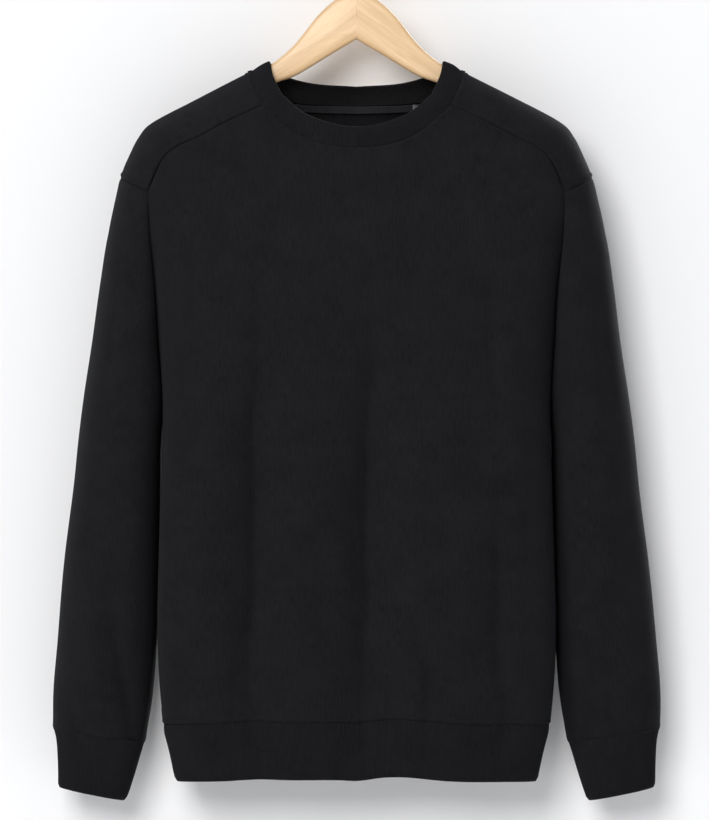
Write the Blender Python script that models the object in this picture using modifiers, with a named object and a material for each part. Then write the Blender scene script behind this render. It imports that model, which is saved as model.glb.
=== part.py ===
"""Crewneck sweatshirt on a wooden hanger.

Every panel of cloth is a wall lofted through sections that are worked out from the tables
below. x runs outward from the garment's centre line, "drop" is the distance below the point
where the hook bears, and depth is negative towards the front. Tables are in millimetres.
"""
import math

import bmesh
import bpy
import numpy as np
from mathutils import Matrix, Vector

MM = 0.001

# ---------------------------------------------------------------- driving dimensions
WALL = 2.0              # fleece wall of the panels and sleeves
RIB_WALL = 2.4          # doubled rib of hem and cuffs
BAND_WALL = 2.6         # doubled rib of the neckband
GAP = 0.3               # between two pieces that are sewn together
CREASE_GAP = 0.5        # between sleeve and body where their seam lies in a crease
# Where a seam turns outward, the outer faces are drawn back more, so the inner ones clear.
SHOULDER_DRAW = 0.45
SIDE_DRAW = 0.7
HEM_DRAW = 0.5
CUFF_DRAW = 1.3
CAP_DRAW = 0.4
NECK_DRAW = 0.25

HEM_RIB_HEIGHT = 57.0
HEM_RIB_RINGS = [(0.15, 0.008, 0.017), (0.5, 0.034, 0.058), (1.0, 0.065, 0.1)]
# each ring below the hem seam: its share of the rib's height, then how much it is drawn in
# across the body and from front to back
TAPE_HEIGHT = 7.5
TAPE_REACH = 78.0       # half length of the tape along the back neck
TAPE_WALL = 1.0
LABEL_SIZE = (10.0, 0.8, 17.0)
LABEL_X = 61.5

HANGER_THICK = 11.0
HANGER_EDGE = 4.5       # rounding of the arms' edges
HANGER_SEAT = 0.5       # between the arm's crown and the neckband that lies on it
HOOK_WIRE = 2.0         # radius of the steel wire
HOOK_RADIUS = 22.0      # of the wire's centre line
HOOK_BORE = 2.4
HOOK_SINK = 26.0        # length of wire inside the wood

# ---------------------------------------------------------------- mesh counts
SHOULDER_COLS = 7       # along a shoulder
NECK_COLS = 6           # along half a neck
CAP_ROWS = 8            # from the shoulder ridge to the shoulder seam, and half round a sleeve
BLEND_ROWS = 3          # from the shoulder seam's end to the first level section
CREASE_ROWS = 5         # from there to the underarm
SIDE_ROWS = 9           # underarm to hem
SLEEVE_ROWS = 10        # underarm to cuff
COLS = SHOULDER_COLS + NECK_COLS
RIDGE_CROWD = 1.4       # brings the back neck's columns closer towards the shoulder ridge

# ---------------------------------------------------------------- body
# The crease between body and sleeve holds the armhole seam: at each height its front and back
# lines lie at the side's x and at the depths seam_front and seam_back. They meet underarm.
BODY_COLUMNS = ("drop", "side", "seam_front", "seam_back", "front", "back")
BODY_SECTIONS = [
    (259, 207.5, -40, 40, -52, 46),
    (300, 206.0, -34, 40, -58, 51),
    (348, 201.5, -22, 36, -63, 56),
    (410, 198.0, -6, 28, -66, 60),
    (466, 193.5, 12, 12, -67, 62),
    (506, 193.8, 3, 3, -67, 62),
    (546, 195.0, 0, 0, -66, 62),
    (626, 197.5, 0, 0, -65, 62),
    (706, 198.5, 0, 0, -63, 60),
    (746, 196.5, 0, 0, -62, 59),
    (786, 193.0, 0, 0, -61, 58),
]
CREASE_TOP = 259.0      # where the armhole seam turns down into the crease
FIRST_SECTION = 300.0
UNDERARM = 466.0
HEM_SEAM = 786.0
HEM_SIDE_SAG = 3.0      # the hem seam lies lower at the sides than in the middle
BODY_ROUND = 2.9        # higher is flatter in front and tighter at the sides

# ---------------------------------------------------------------- shoulders and neck
RIDGE = [(236.5, 244), (227.5, 223), (217.5, 203), (203.5, 188), (158.5, 164), (106.5, 138)]
SHOULDER_SEAM = [
    (207.5, 259, -40), (193.5, 228, -42), (178.0, 214, -41), (158.5, 205, -40),
    (130.5, 190, -38), (93.0, 172, -34),
]
NECK_FRONT = [(93.0, 172, -34), (60.5, 200, -42), (30.0, 212, -45.5), (0.0, 215, -46.5)]
NECK_SIDE = [(106.5, 138, 0), (106.0, 139.4, -8), (102.5, 152, -22), (93.0, 172, -34)]
NECK_BACK = [(106.5, 138, 0), (105.8, 139.5, 9), (94.0, 156, 24), (60.0, 167, 32), (0.0, 170, 36)]
BAND_FRONT = [(74.0, 161, -28), (51.5, 180, -37), (21.5, 191.5, -41.5), (0.0, 194, -42)]
BAND_SIDE = [(86.5, 127, 0), (86.2, 128.4, -8), (83.0, 142, -19), (74.0, 161, -28)]
BAND_BACK = [(86.5, 127, 0), (85.8, 128.4, 9), (75.0, 139, 22), (44.0, 147.5, 28), (0.0, 150.5, 32)]
NOTCH_LIFT = 15.0       # the armhole seam climbs this far from the crease to the shoulder

# ---------------------------------------------------------------- sleeves
SLEEVE_COLUMNS = ("drop", "outer", "mid", "inner", "front", "back", "seam_front", "seam_back")
SLEEVE_SECTIONS = [
    (259, 236.5, 207.5, 207.5, -40, 40, -40, 40),
    (300, 248.5, 218.5, 206.0, -42, 46, -34, 40),
    (348, 256.5, 224.5, 201.5, -43, 52, -22, 36),
    (410, 265.0, 229.5, 198.0, -44, 58, -6, 28),
    (466, 273.5, 234.5, 193.5, -43, 62, 12, 12),
    (506, 278.5, 237.0, 195.8, -42, 63, 24, 24),
    (546, 282.5, 238.5, 196.4, -40, 63, 34, 34),
    (626, 292.5, 244.5, 198.0, -34, 60, 34, 34),
    (706, 299.5, 248.5, 200.0, -28, 55, 30, 30),
    (766, 304.5, 254.5, 205.0, -23, 50, 24, 24),
    (801, 304.5, 259.0, 211.5, -20, 45, 14, 14),
]
CUFF_SEAM = 801.0
CUFF_SLANT = (-5.0, 8.5)   # the cuff seam is higher outside, lower inside
SLEEVE_ROUND = 2.1
CUFF_SECTIONS = [
    (801, 304.5, 259.0, 211.5, -20, 45, 14, 14),
    (811, 300.8, 259.0, 216.5, -18, 43, 14, 14),
    (830, 299.5, 260.0, 222.5, -16, 42, 13, 13),
    (856, 299.0, 266.0, 231.5, -14, 40, 13, 13),
]

# ---------------------------------------------------------------- largest folds
# Soft troughs, each (top_x, top, low_x, low, width, depth): x and drop at its upper and lower
# end, then its half width and its depth.
FRONT_FOLDS = [
    (-98, 350, -106, 782, 15, 6.5),
    (14, 380, 9, 782, 19, 7.5),
    (140, 590, 148, 760, 14, 3.5),
    (-162, 300, -160, 420, 12, 2.5),
]
BACK_FOLDS = [
    (-70, 330, -82, 782, 17, 6.0),
    (52, 360, 66, 782, 19, 7.0),
    (138, 540, 132, 770, 14, 4.0),
]

# ---------------------------------------------------------------- hanger
ARM_TOP = [(0, 60), (18, 64.5), (30, 73), (42.5, 86), (55.5, 103), (68.5, 117), (87.5, 131.4)]
ARM_TIP = [(202, 197), (199.5, 206), (189, 207.5)]
ARM_UNDER = [(134, 176), (106.5, 163), (81.5, 149.5), (59.5, 141), (24.5, 120), (0, 105.5)]
PAST_MITRE = [(-9, 60), (-9, 100)]
MITRE_GAP = 0.3


def spline(points, per_span=12):
    """A smooth curve through the points, as many short steps."""
    pts = np.array(points, float)
    ends = np.vstack([2 * pts[0] - pts[1], pts, 2 * pts[-1] - pts[-2]])
    curve = []
    for i in range(1, len(ends) - 2):
        p0, p1, p2, p3 = ends[i - 1:i + 3]
        for t in np.linspace(0, 1, per_span, endpoint=False):
            curve.append(0.5 * (2 * p1 + (p2 - p0) * t + (2 * p0 - 5 * p1 + 4 * p2 - p3) * t ** 2
                                + (3 * p1 - p0 - 3 * p2 + p3) * t ** 3))
    return np.array(curve + [pts[-1]])


def even(curve, count, crowd=1.0):
    """The curve as count steps of equal length, or shorter at its start where crowd is over 1."""
    curve = np.array(curve, float)
    run = np.concatenate([[0], np.cumsum(np.linalg.norm(np.diff(curve, axis=0), axis=1))])
    at = run[-1] * np.linspace(0, 1, count + 1) ** crowd
    return np.stack([np.interp(at, run, curve[:, k]) for k in range(curve.shape[1])], axis=1)


def section_at(table, names, drop):
    """The table's row at a height, by smooth interpolation between its rows."""
    rows = np.array(table, float)
    heights = rows[:, 0]
    slopes = np.gradient(rows, heights, axis=0)
    i = int(np.clip(np.searchsorted(heights, drop) - 1, 0, len(heights) - 2))
    span = heights[i + 1] - heights[i]
    t = (drop - heights[i]) / span
    row = ((2 * t ** 3 - 3 * t ** 2 + 1) * rows[i] + (t ** 3 - 2 * t ** 2 + t) * span * slopes[i]
           + (3 * t ** 2 - 2 * t ** 3) * rows[i + 1] + (t ** 3 - t ** 2) * span * slopes[i + 1])
    return dict(zip(names, row))


def quarter(side, crown, roundness, steps=40):
    """A quarter of a superellipse from its side, where it runs in depth, to its crown."""
    angle = np.linspace(0, math.pi / 2, steps + 1)
    across = np.clip(np.cos(angle), 0, 1) ** (2 / roundness)
    along = np.clip(np.sin(angle), 0, 1) ** (2 / roundness)
    return np.stack([crown[0] + (side[0] - crown[0]) * across,
                     side[1] + (crown[1] - side[1]) * along], axis=1)


def coons(top, bottom, left, right):
    """The patch between four edges; top and bottom run left to right, the others downward."""
    rows, cols = len(left), len(top)
    v = np.linspace(0, 1, rows)[:, None, None]
    u = np.linspace(0, 1, cols)[None, :, None]
    ruled = (1 - v) * top[None] + v * bottom[None] + (1 - u) * left[:, None] + u * right[:, None]
    corners = ((1 - u) * (1 - v) * top[0] + u * (1 - v) * top[-1]
               + (1 - u) * v * bottom[0] + u * v * bottom[-1])
    return ruled - corners


def body_section(drop, face):
    """Half a body section from the side seam to the middle; face is -1 in front, 1 behind."""
    row = section_at(BODY_SECTIONS, BODY_COLUMNS, drop)
    seam, crown = ("seam_front", "front") if face < 0 else ("seam_back", "back")
    flat = quarter((row["side"] - CREASE_GAP / 2, row[seam]), (0, row[crown]), BODY_ROUND)
    flat = even(flat, COLS)
    hang = np.full(COLS + 1, float(drop))
    if drop > UNDERARM:
        share = (drop - UNDERARM) / (HEM_SEAM - UNDERARM)
        hang += HEM_SIDE_SAG * share * (flat[:, 0] / row["side"]) ** 2
    return np.stack([flat[:, 0], hang, flat[:, 1]], axis=1)


def sleeve_ring(drop, table):
    """A sleeve section from the seam in front, round the outside, to the seam behind."""
    row = section_at(table, SLEEVE_COLUMNS, drop)
    middle = (row["front"] + row["back"]) / 2
    inner = row["inner"] + CREASE_GAP / 2
    mid = max(row["mid"], inner)
    halves = []
    for crown, seam in ((row["front"], row["seam_front"]), (row["back"], row["seam_back"])):
        inside = quarter((inner, seam), (mid, crown), SLEEVE_ROUND)
        outside = quarter((row["outer"], middle), (mid, crown), SLEEVE_ROUND)[::-1]
        halves.append(even(np.vstack([inside, outside]), CAP_ROWS))
    flat = np.vstack([halves[0], halves[1][::-1][1:]])
    return np.stack([flat[:, 0], np.full(len(flat), float(drop)), flat[:, 1]], axis=1)


def sleeve_rows():
    """All rings of a sleeve: the armhole's top, the crease, then down to the cuff."""
    turn = np.abs(np.linspace(-1, 1, 2 * CAP_ROWS + 1))
    rise = NOTCH_LIFT * np.sin((1 - turn) * math.pi / 2)
    rings = []
    for i in range(BLEND_ROWS + 1):
        share = i / BLEND_ROWS
        ring = sleeve_ring(CREASE_TOP + (FIRST_SECTION - CREASE_TOP) * share, SLEEVE_SECTIONS)
        ring[:, 1] -= rise * (1 - share)
        rings.append(ring)
    for drop in np.linspace(FIRST_SECTION, UNDERARM, CREASE_ROWS + 1)[1:]:
        rings.append(sleeve_ring(drop, SLEEVE_SECTIONS))
    for drop in np.linspace(UNDERARM, CUFF_SEAM, SLEEVE_ROWS + 1)[1:]:
        ring = sleeve_ring(drop, SLEEVE_SECTIONS)
        share = ((drop - UNDERARM) / (CUFF_SEAM - UNDERARM)) ** 4
        rings.append(slant(ring, share))
    return np.array(rings)


def slant(ring, share):
    """Tilts a ring towards the cuff's slope."""
    low, high = ring[:, 0].min(), ring[:, 0].max()
    inward = (high - ring[:, 0]) / (high - low)
    ring[:, 1] += share * (CUFF_SLANT[0] + (CUFF_SLANT[1] - CUFF_SLANT[0]) * inward)
    return ring


def neck_edge(front, side, back):
    """Half the neck from the middle of the front to the middle of the back."""
    parts = [even(spline(front), NECK_COLS)[::-1], even(spline(side), CAP_ROWS)[::-1][1:],
             even(spline(back), NECK_COLS, RIDGE_CROWD)[1:]]
    return np.vstack(parts)


def drape(points, folds):
    """Presses the folds of one face into a grid of points; depth moves towards the middle."""
    points = points.copy()
    x, drop = points[..., 0], points[..., 1]
    for top_x, top, low_x, low, width, depth in folds:
        share = np.clip((drop - top) / (low - top), 0, 1)
        line = top_x + (low_x - top_x) * share
        swell = np.sin(math.pi * share ** 1.3) ** 0.8
        points[..., 2] -= (np.sign(points[..., 2]) * depth * swell
                           * np.exp(-((x - line) / width) ** 2))
    return points


def relaxed(rows, last, passes=8):
    """Evens out the cloth above a row, as fabric does; the grid's edges stay where they are."""
    rows = rows.copy()
    row = np.arange(len(rows))
    fade = np.clip(np.minimum((last - row) / 3, (row - 1) / 4), 0, 1)[1:-1, None, None]
    for _ in range(passes):
        near = (rows[:-2, 1:-1] + rows[2:, 1:-1] + rows[1:-1, :-2] + rows[1:-1, 2:]) / 4
        rows[1:-1, 1:-1] += 0.5 * fade * (near - rows[1:-1, 1:-1])
    return rows


def mirrored(half):
    """A half grid whose last column is the centre line, and its mirror image, side by side."""
    left = half * np.array([-1, 1, 1])
    return np.concatenate([left, half[:, -2::-1]], axis=1)


def front_rows():
    """The front panel, row by row from the shoulder and neck seams to the hem."""
    sleeve = sleeve_rows()
    top = np.vstack([even(spline(SHOULDER_SEAM), SHOULDER_COLS),
                     even(spline(NECK_FRONT), NECK_COLS)[1:]])
    top[0] = sleeve[0][0]
    top[0, 0] -= CREASE_GAP
    bottom = body_section(FIRST_SECTION, -1)
    left = sleeve[:BLEND_ROWS + 1, 0].copy()
    left[:, 0] -= CREASE_GAP
    centre = np.linspace(0, 1, BLEND_ROWS + 1)[:, None]
    middle = top[-1] + (bottom[-1] - top[-1]) * np.hstack(
        [centre, centre, np.sin(centre * math.pi / 2)])
    rows = list(coons(top, bottom, left, middle))
    rows += [body_section(d, -1) for d in np.linspace(FIRST_SECTION, UNDERARM, CREASE_ROWS + 1)[1:]]
    rows += [body_section(d, -1) for d in np.linspace(UNDERARM, HEM_SEAM, SIDE_ROWS + 1)[1:]]
    return drape(relaxed(mirrored(np.array(rows)), BLEND_ROWS + CREASE_ROWS), FRONT_FOLDS)


def back_rows():
    """The back panel behind the shoulder ridge, row by row down to the hem."""
    sleeve = sleeve_rows()
    ridge = even(spline([(x, drop, 0) for x, drop in RIDGE]), SHOULDER_COLS)
    ridge[0] = sleeve[0][CAP_ROWS]
    neck = even(spline(NECK_BACK), NECK_COLS, RIDGE_CROWD)
    bottom = body_section(FIRST_SECTION, 1)
    cap = sleeve[0][CAP_ROWS:]
    crease = sleeve[1:BLEND_ROWS + 1, -1].copy()
    crease[:, 0] -= CREASE_GAP
    left = np.vstack([cap, crease])
    count = len(left) - 1
    fall = quarter((ridge[-1][1], 0), (bottom[SHOULDER_COLS][1], bottom[SHOULDER_COLS][2]), 2.2)
    fall = even(fall, count)
    share = np.linspace(0, 1, count + 1)
    inside = ridge[-1][0] + (bottom[SHOULDER_COLS][0] - ridge[-1][0]) * share
    between = np.stack([inside, fall[:, 0], fall[:, 1]], axis=1)
    middle = neck[-1] + (bottom[-1] - neck[-1]) * np.stack(
        [share, share, np.sin(share * math.pi / 2)], axis=1)
    shoulder = coons(ridge, bottom[:SHOULDER_COLS + 1], left, between)
    centre = coons(neck, bottom[SHOULDER_COLS:], between, middle)
    rows = list(np.concatenate([shoulder, centre[:, 1:]], axis=1))
    rows += [body_section(d, 1) for d in np.linspace(FIRST_SECTION, UNDERARM, CREASE_ROWS + 1)[1:]]
    rows += [body_section(d, 1) for d in np.linspace(UNDERARM, HEM_SEAM, SIDE_ROWS + 1)[1:]]
    return drape(relaxed(mirrored(np.array(rows)), CAP_ROWS + BLEND_ROWS + CREASE_ROWS),
                 BACK_FOLDS)


def flap_rows():
    """The part of the back that comes forward over a shoulder to the shoulder seam."""
    sleeve = sleeve_rows()
    ridge = even(spline([(x, drop, 0) for x, drop in RIDGE]), SHOULDER_COLS)
    ridge[0] = sleeve[0][CAP_ROWS]
    seam = even(spline(SHOULDER_SEAM), SHOULDER_COLS)
    seam[0] = sleeve[0][0]
    outside = sleeve[0][:CAP_ROWS + 1][::-1]
    inside = even(spline(NECK_SIDE), CAP_ROWS)
    return coons(ridge, seam, outside, inside)


def pulled(rows, edges):
    """The grid with its sewn edges drawn back, each by its width, so pieces stay just apart."""
    rows = rows.copy()
    moves = {"first_row": (rows[0], rows[1]), "last_row": (rows[-1], rows[-2]),
             "first_col": (rows[:, 0], rows[:, 1]), "last_col": (rows[:, -1], rows[:, -2])}
    for edge, width in edges.items():
        at, towards = moves[edge]
        step = towards - at
        at += width * step / np.maximum(np.linalg.norm(step, axis=-1, keepdims=True), 1e-6)
    return rows


def material(name, colour, roughness, metallic=0.0):
    """A Principled material."""
    made = bpy.data.materials.new(name)
    made.use_nodes = True
    shader = made.node_tree.nodes["Principled BSDF"]
    shader.inputs["Base Color"].default_value = (*colour, 1)
    shader.inputs["Roughness"].default_value = roughness
    shader.inputs["Metallic"].default_value = metallic
    return made


def place(obj, finish, collection):
    """Gives a finished object its material and its collection."""
    obj.data.materials.clear()
    obj.data.materials.append(finish)
    for user in list(obj.users_collection):
        user.objects.unlink(obj)
    collection.objects.link(obj)
    return obj


def loft(mesh, rows, closed=False, flip=False):
    """Adds a grid of points to a bmesh as quads; closed joins the last column to the first."""
    grid = [[mesh.verts.new(Vector((x, y, -drop)) * MM) for x, drop, y in row] for row in rows]
    count = len(grid[0])
    for upper, lower in zip(grid, grid[1:]):
        for i in range(count if closed else count - 1):
            j = (i + 1) % count
            face = [upper[i], lower[i], lower[j], upper[j]]
            mesh.faces.new(face[::-1] if flip else face)


def cloth(name, grids, wall, finish, collection, closed=False):
    """One sewn piece: its outer face lofted from grids and given its wall inward."""
    data = bpy.data.meshes.new(name)
    shape = bmesh.new()
    for rows, flip in grids:
        loft(shape, rows, closed, flip)
    bmesh.ops.remove_doubles(shape, verts=shape.verts, dist=1e-5)
    shape.to_mesh(data)
    shape.free()
    data.shade_smooth()
    obj = bpy.data.objects.new(name, data)
    solid = obj.modifiers.new("Wall", "SOLIDIFY")
    solid.thickness = wall * MM
    solid.offset = -1
    return place(obj, finish, collection)


def other_side(rows):
    """The mirror image of a grid."""
    return rows * np.array([-1, 1, 1])


def body_panels(finish, collection):
    """The front, and the back with its two forward shoulders."""
    front = pulled(front_rows(), {"first_row": SHOULDER_DRAW, "last_row": GAP / 2,
                                  "first_col": SIDE_DRAW, "last_col": SIDE_DRAW})
    cloth("front", [(front, False)], WALL, finish, collection)
    back = back_rows()
    flap = flap_rows()
    ridge = slice(0, SHOULDER_COLS + 1)
    neck = slice(SHOULDER_COLS, -SHOULDER_COLS)
    drawn = pulled(back, {"last_row": GAP / 2, "first_col": SIDE_DRAW, "last_col": SIDE_DRAW})
    drawn[0, neck] = pulled(back, {"first_row": NECK_DRAW})[0, neck]
    flap = pulled(flap, {"last_row": SHOULDER_DRAW, "first_col": CAP_DRAW, "last_col": NECK_DRAW})
    flap[0] = drawn[0, ridge] * np.array([-1, 1, 1])
    grids = [(drawn, True), (other_side(flap), False), (flap, True)]
    cloth("back", grids, WALL, finish, collection)


def sleeves(finish, collection):
    """Both sleeves, each a tube with its seam underarm."""
    rows = pulled(sleeve_rows(), {"first_row": CAP_DRAW, "last_row": GAP / 2,
                                  "first_col": GAP / 2, "last_col": GAP / 2})
    cloth("sleeve_left", [(other_side(rows), True)], WALL, finish, collection)
    cloth("sleeve_right", [(rows, False)], WALL, finish, collection)


def round_neck(front, side, back):
    """The whole neck edge as a closed ring, from half of it."""
    half = neck_edge(front, side, back)
    return np.vstack([other_side(half), half[-2:0:-1]])


def neckband(finish, collection):
    """The standing rib band, closed all round."""
    seam = round_neck(NECK_FRONT, NECK_SIDE, NECK_BACK)
    edge = round_neck(BAND_FRONT, BAND_SIDE, BAND_BACK)
    bulge = (seam + edge) / 2
    bulge[:, 1] -= 1.0
    bulge[:, 2] += np.sign(bulge[:, 2]) * 1.2
    rows = pulled(np.array([edge, bulge, seam]), {"last_row": NECK_DRAW})
    cloth("neckband", [(rows, True)], BAND_WALL, finish, collection, closed=True)


def hem_rib(finish, collection):
    """The rib band that draws the hem in."""
    front = front_rows()[-1]
    back = back_rows()[-1]
    seam = np.vstack([front, back[-2:0:-1]])
    rows = [seam]
    for share, across, deep in HEM_RIB_RINGS:
        ring = seam.copy()
        ring[:, 0] *= 1 - across
        ring[:, 1] += HEM_RIB_HEIGHT * share
        ring[:, 2] *= 1 - deep
        rows.append(ring)
    rows = pulled(np.array(rows), {"first_row": HEM_DRAW})
    cloth("hem_rib", [(rows, False)], RIB_WALL, finish, collection, closed=True)


def cuffs(finish, collection):
    """Both rib cuffs."""
    seam = sleeve_rows()[-1][:-1]
    rings = [seam]
    for drop, *_ in CUFF_SECTIONS[1:]:
        rings.append(slant(sleeve_ring(drop, CUFF_SECTIONS)[:-1], 1.0))
    rows = pulled(np.array(rings), {"first_row": CUFF_DRAW})
    cloth("cuff_left", [(other_side(rows), True)], RIB_WALL, finish, collection, closed=True)
    cloth("cuff_right", [(rows, False)], RIB_WALL, finish, collection, closed=True)


def neck_tape(finish, collection):
    """The tape that covers the back neck seam inside, made from the back panel's points."""
    upper, lower = back_rows()[0], back_rows()[2]
    down = lower - upper
    down /= np.linalg.norm(down, axis=1, keepdims=True)
    keep = np.abs(upper[:, 0]) < TAPE_REACH
    upper, down = upper[keep], down[keep]
    along = np.gradient(upper, axis=0)
    inward = np.cross(down, along)
    inward /= np.linalg.norm(inward, axis=1, keepdims=True)
    inward *= -np.sign(inward[:, 2:3])
    top = upper + inward * (WALL + 2 * GAP) + down * 1.0
    rows = np.array([top, top + down * TAPE_HEIGHT / 2, top + down * TAPE_HEIGHT])
    cloth("neck_tape", [(rows, True)], TAPE_WALL, finish, collection)
    return rows


def size_label(tape, finish, collection):
    """A blank label hanging from the tape."""
    beside = int(np.argmin(np.abs(tape[0][:, 0] - LABEL_X)))
    top = tape[0][beside]
    depth = min(row[beside][2] for row in tape) - TAPE_WALL - GAP - LABEL_SIZE[1] / 2
    bpy.ops.mesh.primitive_cube_add(size=1)
    label = bpy.context.object
    label.name = "size_label"
    label.data.transform(Matrix.Diagonal((*[side * MM for side in LABEL_SIZE], 1)))
    label.location = Vector((LABEL_X, depth, -(top[1] + LABEL_SIZE[2] / 2))) * MM
    place(label, finish, collection)


def arm_outline():
    """An arm's outline, from just past the mitre, out over the top, round the tip and back."""
    ridge = spline([(x, drop) for x, drop in RIDGE])[::-1]
    ridge = ridge[ridge[:, 0] < ARM_TIP[0][0] - 8]
    along = np.gradient(ridge, axis=0)
    along /= np.linalg.norm(along, axis=1, keepdims=True)
    under_cloth = ridge + np.stack([-along[:, 1], along[:, 0]], axis=1) * (BAND_WALL + HANGER_SEAT)
    crown = [tuple(point) for point in under_cloth[4::7]]
    top = spline([PAST_MITRE[0]] + ARM_TOP + crown + ARM_TIP[:1], 4)
    tip = spline(ARM_TIP, 5)[1:]
    under = spline(ARM_TIP[-1:] + ARM_UNDER + [PAST_MITRE[1]], 4)[1:]
    return np.vstack([top, tip, under])


def hanger_arm(name, side, bore, finish, collection):
    """One wooden arm: a flat outline with rounded edges, cut off square at the mitre."""
    curve = bpy.data.curves.new(name, "CURVE")
    curve.dimensions = "2D"
    curve.fill_mode = "BOTH"
    curve.extrude = (HANGER_THICK / 2 - HANGER_EDGE) * MM
    curve.bevel_depth = HANGER_EDGE * MM
    curve.bevel_resolution = 1
    curve.offset = -HANGER_EDGE * MM
    line = curve.splines.new("POLY")
    points = arm_outline()[::side]
    line.points.add(len(points) - 1)
    for point, (x, drop) in zip(line.points, points):
        point.co = (side * x * MM, -drop * MM, 0, 1)
    line.use_cyclic_u = True
    drawn = bpy.data.objects.new(name, curve)
    collection.objects.link(drawn)
    drawn.rotation_euler = (math.pi / 2, 0, 0)
    bpy.context.view_layer.update()
    data = bpy.data.meshes.new_from_object(drawn.evaluated_get(bpy.context.evaluated_depsgraph_get()))
    shape = bmesh.new()
    shape.from_mesh(data)
    bmesh.ops.remove_doubles(shape, verts=shape.verts, dist=1e-5)
    everything = shape.verts[:] + shape.edges[:] + shape.faces[:]
    mitre = bmesh.ops.bisect_plane(
        shape, geom=everything, plane_co=(side * MITRE_GAP / 2 * MM, 0, 0),
        plane_no=(-side, 0, 0), clear_outer=True)
    rim = [item for item in mitre["geom_cut"] if isinstance(item, bmesh.types.BMEdge)]
    bmesh.ops.edgeloop_fill(shape, edges=rim)
    bmesh.ops.recalc_face_normals(shape, faces=shape.faces)
    shape.to_mesh(data)
    shape.free()
    arm = bpy.data.objects.new(name, data)
    arm.matrix_world = drawn.matrix_world
    bpy.data.objects.remove(drawn)
    arm.name = name
    cut = arm.modifiers.new("Hook bore", "BOOLEAN")
    cut.object = bore
    return place(arm, finish, collection)


def hook_bore(collection):
    """The cutter for the hole that the hook's stem stands in."""
    top = ARM_TOP[0][1]
    bpy.ops.mesh.primitive_cylinder_add(
        vertices=16, radius=HOOK_BORE * MM, depth=(HOOK_SINK + 10) * MM,
        location=(0, 0, -(top + (HOOK_SINK - 10) / 2) * MM))
    bore = bpy.context.object
    bore.name = "hook_bore"
    bore.hide_render = True
    bore.display_type = "WIRE"
    for user in list(bore.users_collection):
        user.objects.unlink(bore)
    collection.objects.link(bore)
    return bore


def hook(finish, collection):
    """The steel wire hook; the origin is the highest point of its inside."""
    centre = HOOK_WIRE - HOOK_RADIUS
    turn = np.radians(np.linspace(205, -50, 34))
    arc = np.stack([HOOK_RADIUS * np.cos(turn), centre + HOOK_RADIUS * np.sin(turn)], axis=1)
    foot = -(ARM_TOP[0][1] + HOOK_SINK - 0.5)
    neck = spline([tuple(arc[-1]), (6.0, -43.0), (1.2, -50.0), (0.0, -57.0)], 5)[1:]
    line = np.vstack([arc, neck, [(0.0, foot)]])
    curve = bpy.data.curves.new("hanger_hook", "CURVE")
    curve.dimensions = "3D"
    curve.bevel_depth = HOOK_WIRE * MM
    curve.bevel_resolution = 3
    curve.use_fill_caps = True
    wire = curve.splines.new("POLY")
    wire.points.add(len(line) - 1)
    for point, (x, z) in zip(wire.points, line):
        point.co = (x * MM, 0, z * MM, 1)
    wire.use_smooth = True
    return place(bpy.data.objects.new("hanger_hook", curve), finish, collection)


def main():
    for old in list(bpy.data.objects):
        bpy.data.objects.remove(old)
    parts = bpy.data.collections.new("Sweatshirt on hanger")
    cutters = bpy.data.collections.new("Cutters")
    bpy.context.scene.collection.children.link(parts)
    bpy.context.scene.collection.children.link(cutters)
    fleece = material("Fleece", (0.013, 0.013, 0.015), 0.92)
    rib = material("Rib", (0.012, 0.012, 0.014), 0.94)
    tape = material("Tape", (0.018, 0.018, 0.02), 0.85)
    paper = material("Label", (0.25, 0.25, 0.26), 0.8)
    wood = material("Wood", (0.72, 0.5, 0.29), 0.5)
    steel = material("Steel", (0.6, 0.6, 0.62), 0.25, 1.0)
    body_panels(fleece, parts)
    sleeves(fleece, parts)
    neckband(rib, parts)
    hem_rib(rib, parts)
    cuffs(rib, parts)
    size_label(neck_tape(tape, parts), paper, parts)
    bore = hook_bore(cutters)
    hanger_arm("hanger_arm_left", -1, bore, wood, parts)
    hanger_arm("hanger_arm_right", 1, bore, wood, parts)
    hook(steel, parts)


main()
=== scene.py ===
# %% [markdown]
# # A crewneck sweatshirt on a wooden hanger
#
# This lesson dresses a plain engineering model of a sweatshirt. The model gives the true place
# and size of every cut piece, and each piece is made again here as soft cloth. Lengths in the
# tables are millimetres: x runs outward from the middle, "drop" is measured down from the point
# where the hook bears, and depth is negative towards the front.

# %% Load the model
import math

import bmesh
import bpy
import numpy as np
from mathutils import Matrix, Vector
from mathutils.bvhtree import BVHTree
from mathutils.kdtree import KDTree


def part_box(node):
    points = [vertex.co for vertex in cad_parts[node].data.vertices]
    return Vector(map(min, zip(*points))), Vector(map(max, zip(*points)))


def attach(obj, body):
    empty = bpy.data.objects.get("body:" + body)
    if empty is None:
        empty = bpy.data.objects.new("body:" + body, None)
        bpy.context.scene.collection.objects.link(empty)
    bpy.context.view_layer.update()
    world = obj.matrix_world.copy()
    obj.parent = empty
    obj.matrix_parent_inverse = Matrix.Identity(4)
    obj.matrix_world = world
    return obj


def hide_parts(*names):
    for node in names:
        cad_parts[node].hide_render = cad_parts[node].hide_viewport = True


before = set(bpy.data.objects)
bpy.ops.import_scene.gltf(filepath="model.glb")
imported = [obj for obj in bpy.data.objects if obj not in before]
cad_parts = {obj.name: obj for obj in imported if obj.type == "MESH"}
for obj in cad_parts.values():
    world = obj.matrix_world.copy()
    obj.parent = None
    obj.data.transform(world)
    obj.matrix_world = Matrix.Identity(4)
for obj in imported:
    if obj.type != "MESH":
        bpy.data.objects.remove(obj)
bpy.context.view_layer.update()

MM = 0.001
bpy.ops.object.select_all(action="DESELECT")
print("nodes in the model:", ", ".join(sorted(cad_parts)))

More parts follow.
